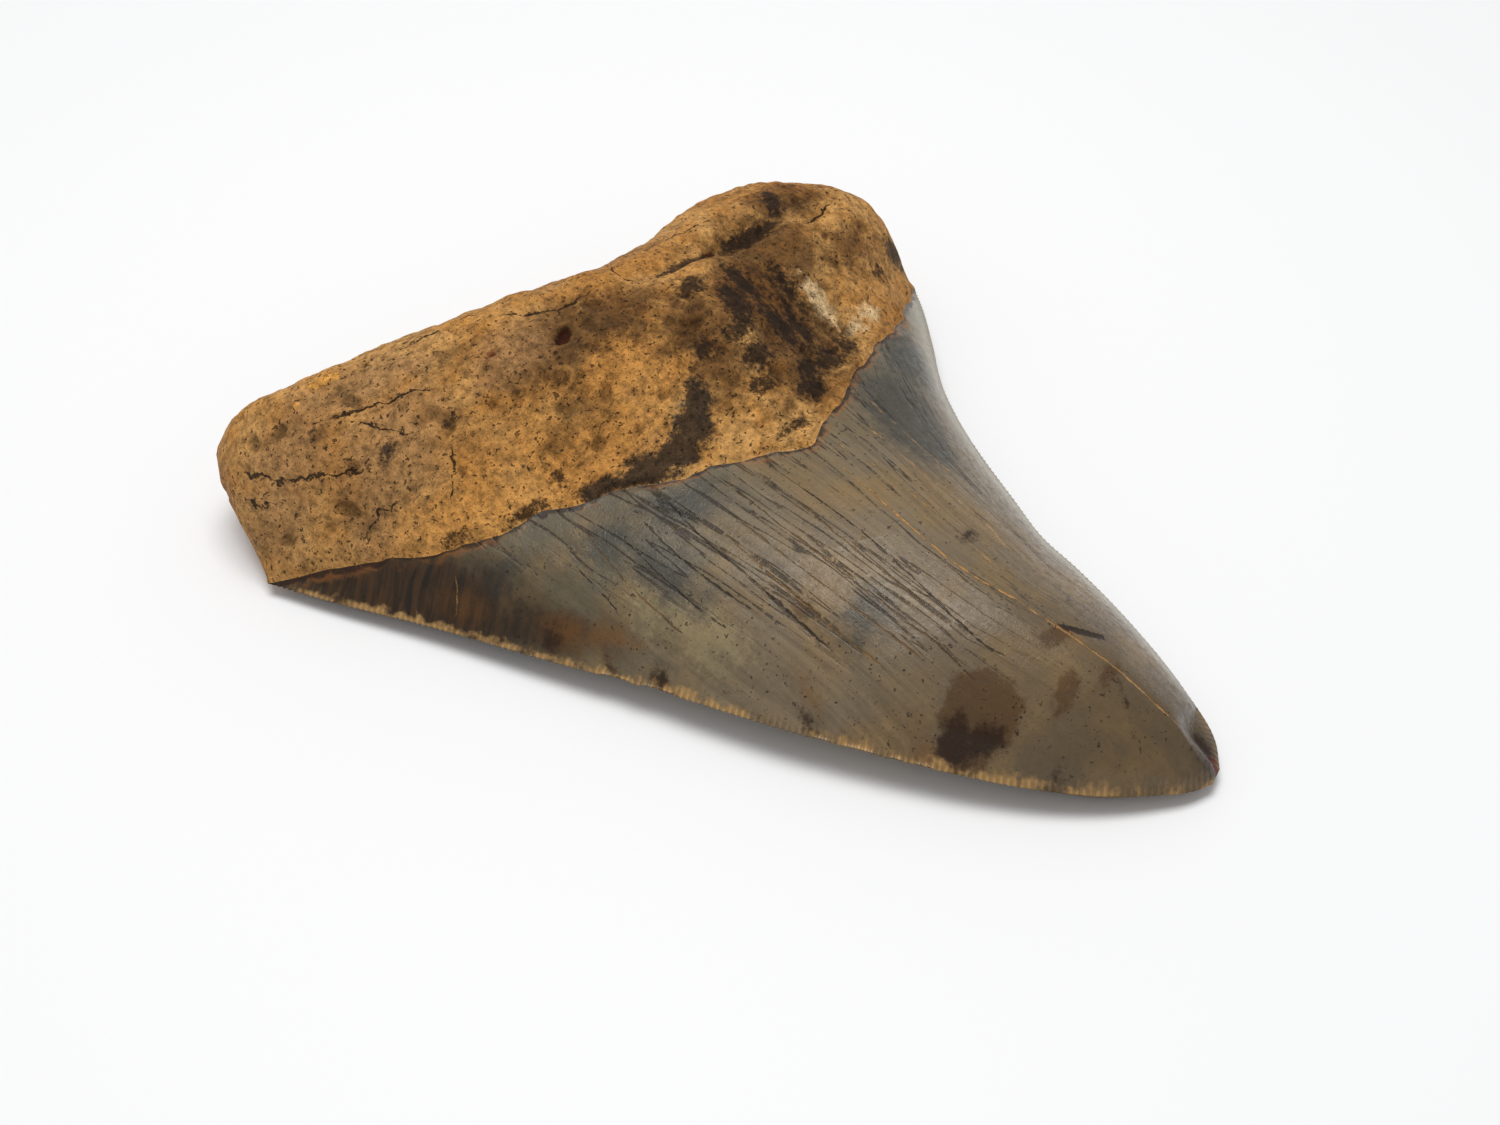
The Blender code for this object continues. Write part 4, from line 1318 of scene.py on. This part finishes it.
        *patches(StainKind.GREY, (-30, 98, 9, 5, -30), face=Face.LABIAL),
        *patches(StainKind.OCHRE, (30, 78, 7, 4, 10), face=Face.LABIAL),
        *patches(StainKind.SOOT, (-6, 78.5, 6, 1.4, -14), (17, 73, 4, 1, -5), face=Face.LABIAL),
        *patches(StainKind.BLUE, (-12, 62, 10, 6, 70), face=Face.LABIAL),
        # Painted shade along the left corner of the face towards the lips
        *patches(StainKind.SHADE, (-34, 80, 12, 2, -71), face=Face.LABIAL),
        *patches(StainKind.BROWN, (6, 40, 2, 1.4, 20), face=Face.LABIAL),
        *patches(StainKind.SMEAR, (12, 58, 4, 2, 60), face=Face.LABIAL),
    )

    def serrated(self, edge: Points, chips: tuple[Chip, ...], inside: np.ndarray) -> np.ndarray:
        """A cutting edge with its chips, and four points to each serration.

        Args:
            edge: The smooth edge.
            chips: The bites out of it.
            inside: A point of the plan on the side that the notches go to.

        Returns:
            The edge's points from the tip.
        """
        path = smooth_path(edge, count=400)
        length = np.linalg.norm(np.diff(path, axis=0), axis=1).sum()
        count = 4 * int(length / self.serration_pitch)
        fine = smooth_path(edge, at=np.linspace(0.0, 1.0, count + 1))
        run = np.linspace(0.0, length, count + 1)
        fade = smooth_step(run / self.serrations_fade)
        fade = fade * smooth_step((length - run) / self.serrations_fade)
        saw = (1 - np.cos(math.pi * np.arange(count + 1) / 2)) / 2
        depth = saw * self.serration_depth * fade
        for chip in chips:
            depth = depth + chip.bite * np.clip(
                1 - (2 * (run - chip.run) / chip.width) ** 2, 0.0, None
            )
        along = np.gradient(fine[:, :2], axis=0)
        along /= np.linalg.norm(along, axis=1)[:, None]
        normal = np.stack([-along[:, 1], along[:, 0]], -1)
        turn = np.sign(((inside - fine[:, :2]) * normal).sum(1))
        fine[:, :2] += normal * (turn * depth)[:, None]
        return fine

    def gather(self) -> MeshParts:
        """The loft's points and faces: two skins on one rim, each in a crown and a root part.

        Returns:
            All of them, with their sides.
        """
        form = self.form
        parts = MeshParts()
        v_crown = np.linspace(0.0, 1.0, self.crown_rows + 1)
        v_root = np.linspace(0.0, 1.0, self.root_rows + 1)
        inside = form.crown(Face.LINGUAL, np.array([0.5]), np.array([0.5]))[0, 0, :2]
        left_rim = parts.add(self.serrated(form.left_edge, self.left_chips, inside), 0, False)
        right_rim = parts.add(self.serrated(form.right_edge, self.right_chips, inside), 0, False)
        path = smooth_path(form.left_root_side, at=v_root[1:])
        left_root = [left_rim[-1], *parts.add(path, 0, True)]
        path = smooth_path(form.right_root_side, at=v_root[1:])
        right_root = [right_rim[-1], *parts.add(path, 0, True)]
        path = smooth_path(
            form.basal_margin, at=np.linspace(0.0, 1.0, self.root_columns[0] + 1)[1:-1]
        )
        margin = [left_root[-1], *parts.add(path, 0, True), right_root[-1]]
        path = form.crown(Face.LINGUAL, np.linspace(0.0, 1.0, 9)[1:-1], np.array([0.0]))
        tip = [left_rim[0], *parts.add(path, 0, False), right_rim[0]]
        for which, face in enumerate(Face):
            even = np.linspace(0.0, 1.0, self.crown_columns[which] + 1)[1:-1]
            crown_u = 0.65 * even + 0.35 * (1 - np.cos(math.pi * even)) / 2
            root_u = np.linspace(0.0, 1.0, self.root_columns[which] + 1)[1:-1]
            side = face.value
            crown = form.crown(face, crown_u, v_crown[1:-1])
            root = form.root(face, root_u, v_root[1:-1])
            line = parts.add(form.crown(face, root_u, np.array([1.0])), side, False)
            crown_ids = np.array(parts.add(crown, side, False)).reshape(crown.shape[:2])
            border = [left_rim[-1], *line, right_rim[-1]]
            root_ids = np.array(parts.add(root, side, True)).reshape(root.shape[:2])
            where = np.concatenate(parts.points)
            flip = face is Face.LABIAL
            for bone, ids, start, end, left, right in (
                (False, crown_ids, tip, border, left_rim, right_rim),
                (True, root_ids, border, margin, left_root, right_root),
            ):
                quads = np.stack([ids[:-1, :-1], ids[:-1, 1:], ids[1:, 1:], ids[1:, :-1]], -1)
                quads = quads.reshape(-1, 4)
                parts.faces.extend(map(tuple, (quads[:, ::-1] if flip else quads).tolist()))
                parts.stitch(ids[0].tolist(), start, where, flip)
                parts.stitch(ids[-1].tolist(), end, where, not flip)
                parts.stitch(ids[:, 0].tolist(), left, where, not flip)
                parts.stitch(ids[:, -1].tolist(), right, where, flip)
                parts.note_bone(bone)
        return parts

    def fields(
        self, where: np.ndarray, side: np.ndarray, bone: np.ndarray
    ) -> dict[Enum, np.ndarray]:
        """What each point stores for the carving and the finishes.

        Args:
            where: The points in mm, before carving.
            side: 1, -1 or 0 for lingual, labial or rim.
            bone: True for points of the root.

        Returns:
            One value for each point, for each field and kind of stain.
        """
        stored: dict[Enum, np.ndarray] = {}
        border = np.empty(len(where))
        for face in Face:
            mine = (side == face.value) | ((side == 0) & (face is Face.LINGUAL))
            border[mine] = nearest_on(smooth_path(self.form.border(face)), where[mine])[0]
        stored[Field.BORDER] = np.where(bone, border, -border)
        left, left_run, _ = nearest_on(smooth_path(self.form.left_edge, count=300), where)
        right, right_run, _ = nearest_on(smooth_path(self.form.right_edge, count=250), where)
        stored[Field.EDGE] = np.minimum(left, right)
        stored[Field.EDGE_RUN] = np.where(left < right, left_run, right_run)
        stored[Field.RIGHT_EDGE] = np.where(left < right, 0.0, 1.0)
        x, y = where[:, 0], where[:, 1]
        spread = np.interp(y, self.growth_axis_y, self.growth_spread)
        grain = (x - np.interp(y, self.growth_axis_y, self.growth_axis_x)) / spread
        to_right = smooth_step((x - 4.0) / 12.0)
        stored[Field.GRAIN] = (1 - to_right) * grain + to_right * (26.0 - right)
        stored[Field.FIBRE] = np.clip(1.5 - 1.5 * in_ellipse(where, *self.fibres_at), 0.0, 1.0)
        self._store_cracks(stored, where, side)
        for kind in StainKind:
            depth = np.full(len(where), NO_STAIN)
            for stain in (stain for stain in self.stains if stain.kind is kind):
                size = (stain.along, stain.across)
                share = in_ellipse(where, stain.x, stain.y, *size, stain.angle)
                inside = (1 - share) * math.sqrt(size[0] * size[1])
                mine = (side == stain.face.value) | ((side == 0) & (stain.face is Face.LINGUAL))
                depth = np.where(mine, np.maximum(depth, inside), depth)
            stored[kind] = depth
        return stored

    def _store_cracks(
        self, stored: dict[Enum, np.ndarray], where: np.ndarray, side: np.ndarray
    ) -> None:
        """Adds the nearest crack's signed distance, width and filling to the fields.

        Args:
            stored: The fields, which it adds to.
            where: The points in mm.
            side: 1, -1 or 0 for lingual, labial or rim.
        """
        off = np.full(len(where), self.crack_reach)
        width = np.full(len(where), NO_CRACK)
        iron = np.zeros(len(where))
        for crack in self.cracks:
            course = smooth_path(crack.course, count=12 * len(crack.course))
            low = course[:, :2].min(0) - self.crack_reach
            high = course[:, :2].max(0) + self.crack_reach
            near = ((where[:, :2] > low) & (where[:, :2] < high)).all(1)
            picked = np.flatnonzero(near & (side == crack.face.value))
            distance, run, turn = nearest_on(course, where[picked])
            length = np.linalg.norm(np.diff(course, axis=0), axis=1).sum()
            ends = np.minimum(run, length - run)
            closer = (distance < np.abs(off[picked])) & (ends > 0)
            chosen = picked[closer]
            off[chosen] = (distance * turn)[closer]
            taper = 0.12 * (1 - smooth_step(ends[closer] / min(3.0, length / 3)))
            beside = 1.6 * np.clip(distance[closer] - 0.42, 0.0, None)
            width[chosen] = self.crack_fineness * crack.width - taper - beside
            iron[chosen] = crack.iron
        stored[Field.CRACK] = off
        stored[Field.CRACK_WIDTH] = width
        stored[Field.CRACK_IRON] = iron

    def carve(
        self, where: np.ndarray, side: np.ndarray, stored: dict[Enum, np.ndarray]
    ) -> np.ndarray:
        """How far each point moves out along its normal, in mm.

        Args:
            where: The points in mm.
            side: 1, -1 or 0 for lingual, labial or rim.
            stored: The points' fields.

        Returns:
            One distance for each point.
        """
        border = stored[Field.BORDER]
        edge = stored[Field.EDGE]
        rim = np.minimum(edge, nearest_on(self.form.root_rim(), where)[0])
        on_bone = smooth_step(border / 0.8)
        on_enamel = smooth_step(-border / 0.8) * smooth_step(edge / 3.0)
        bone = sum(height * lumps(where, size, seed) for size, height, seed in self.bone_lumps)
        bone -= self.pit_depth * smooth_step((lumps(where, 2.2, 5) - 0.55) / 0.25)
        fibres = lumps(where[:, :2] * (1.0, 0.14), 0.9, 6)
        bone += self.fibre_height * fibres * stored[Field.FIBRE]
        deep = np.clip(stored[Field.CRACK_WIDTH] / 0.15, 0.0, 1.5)
        groove = np.exp(-((stored[Field.CRACK] / 0.25) ** 2)) * deep
        bone -= self.bone_groove * groove
        bone -= self.rust_pit * smooth_step(stored[StainKind.RUST] / 0.4 + 0.5)
        bone += self.flake_height * smooth_step(stored[StainKind.FLAKE] / 0.4 + 0.5)
        enamel = sum(height * lumps(where, size, seed) for size, height, seed in self.enamel_lumps)
        lines = np.stack([stored[Field.GRAIN], where[:, 1] * 0.05], -1)
        enamel += self.growth_height * lumps(lines, 1.3, 9)
        enamel -= self.enamel_groove * groove
        moved = bone * on_bone * (0.35 + 0.65 * smooth_step(rim / 5.0)) + enamel * on_enamel
        moved -= self.rim_hollow * on_bone * (1 - smooth_step(rim / 3.0))
        for chip in self.left_chips:
            off = (stored[Field.EDGE_RUN] - chip.run) / (0.6 * chip.width)
            scoop = np.clip(1 - off**2, 0.0, 1.0) * smooth_step(edge / 0.4)
            scoop = scoop * smooth_step(2.4 - edge) * (1 - stored[Field.RIGHT_EDGE])
            moved -= self.chip_scoop * scoop * (side == 1)
        return moved * np.where(side == -1, self.labial_relief, 1.0)

    def ragged_border(self, where: np.ndarray, stored: dict[Enum, np.ndarray]) -> np.ndarray:
        """How far each point near the border moves along Y, so that the border isn't smooth.

        Args:
            where: The points in mm.
            stored: The points' fields.

        Returns:
            One distance for each point, in mm.
        """
        near = np.exp(-((stored[Field.BORDER] / 2.6) ** 2))
        free = smooth_step((stored[Field.EDGE] - 0.5) / 4.0)
        plan = where[:, :2]
        return (0.75 * lumps(plan, 4.5, 11) + 0.4 * lumps(plan, 1.7, 12)) * near * free

    def build(self) -> bpy.types.Object:
        """Makes the mesh, in metres in the frame, with its finishes.

        Returns:
            The tooth.
        """
        parts = self.gather()
        where = np.concatenate(parts.points)
        side = np.concatenate(parts.side_of)
        bone = np.concatenate(parts.bone_of)
        stored = self.fields(where, side, bone)
        where[:, 1] += self.ragged_border(where, stored)
        mesh = bpy.data.meshes.new("tooth_surface")
        mesh.from_pydata(where.tolist(), [], parts.faces)
        normals = np.empty(3 * len(where), np.float32)
        mesh.vertex_normals.foreach_get("vector", normals)
        moved = self.carve(where, side, stored)
        moved[side == 0] *= bone[side == 0]
        # Kept so that the bone's finish darkens the carved hollows as painted shade
        stored[Field.HOLLOW] = moved
        where += normals.reshape(-1, 3) * moved[:, None]
        placed = (where - np.array([*self.form.middle(), 0.0])) * MM
        low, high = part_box(NODE)
        placed = np.clip(placed, np.array(low), np.array(high))
        mesh.vertices.foreach_set("co", placed.astype(np.float32).ravel())
        for name, values in stored.items():
            layer = mesh.attributes.new(name.value, "FLOAT", "POINT")
            layer.data.foreach_set("value", values.astype(np.float32))
        mesh.materials.append(self.enamel.make())
        mesh.materials.append(self.bone.make())
        mesh.polygons.foreach_set("material_index", np.array(parts.bone_faces, np.int32))
        mesh.shade_smooth()
        mesh.update()
        tooth = bpy.data.objects.new("tooth_surface", mesh)
        bpy.context.scene.collection.objects.link(tooth)
        return tooth


def main() -> None:
    """Builds the tooth and its studio, and reports each piece."""
    logging.basicConfig(level=logging.INFO)
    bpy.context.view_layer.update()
    tooth = Tooth()
    studio = Studio()
    studio.camera(tooth.form)
    studio.lights()
    studio.table()
    # One piece stands for the whole solid, because the tooth grew as one
    piece = tooth.build()
    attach(piece, BODY)
    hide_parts(NODE)
    triangles = sum(len(face.vertices) - 2 for face in piece.data.polygons)
    log.info("%s: %d triangles", piece.name, triangles)


if __name__ == "__main__":
    main()
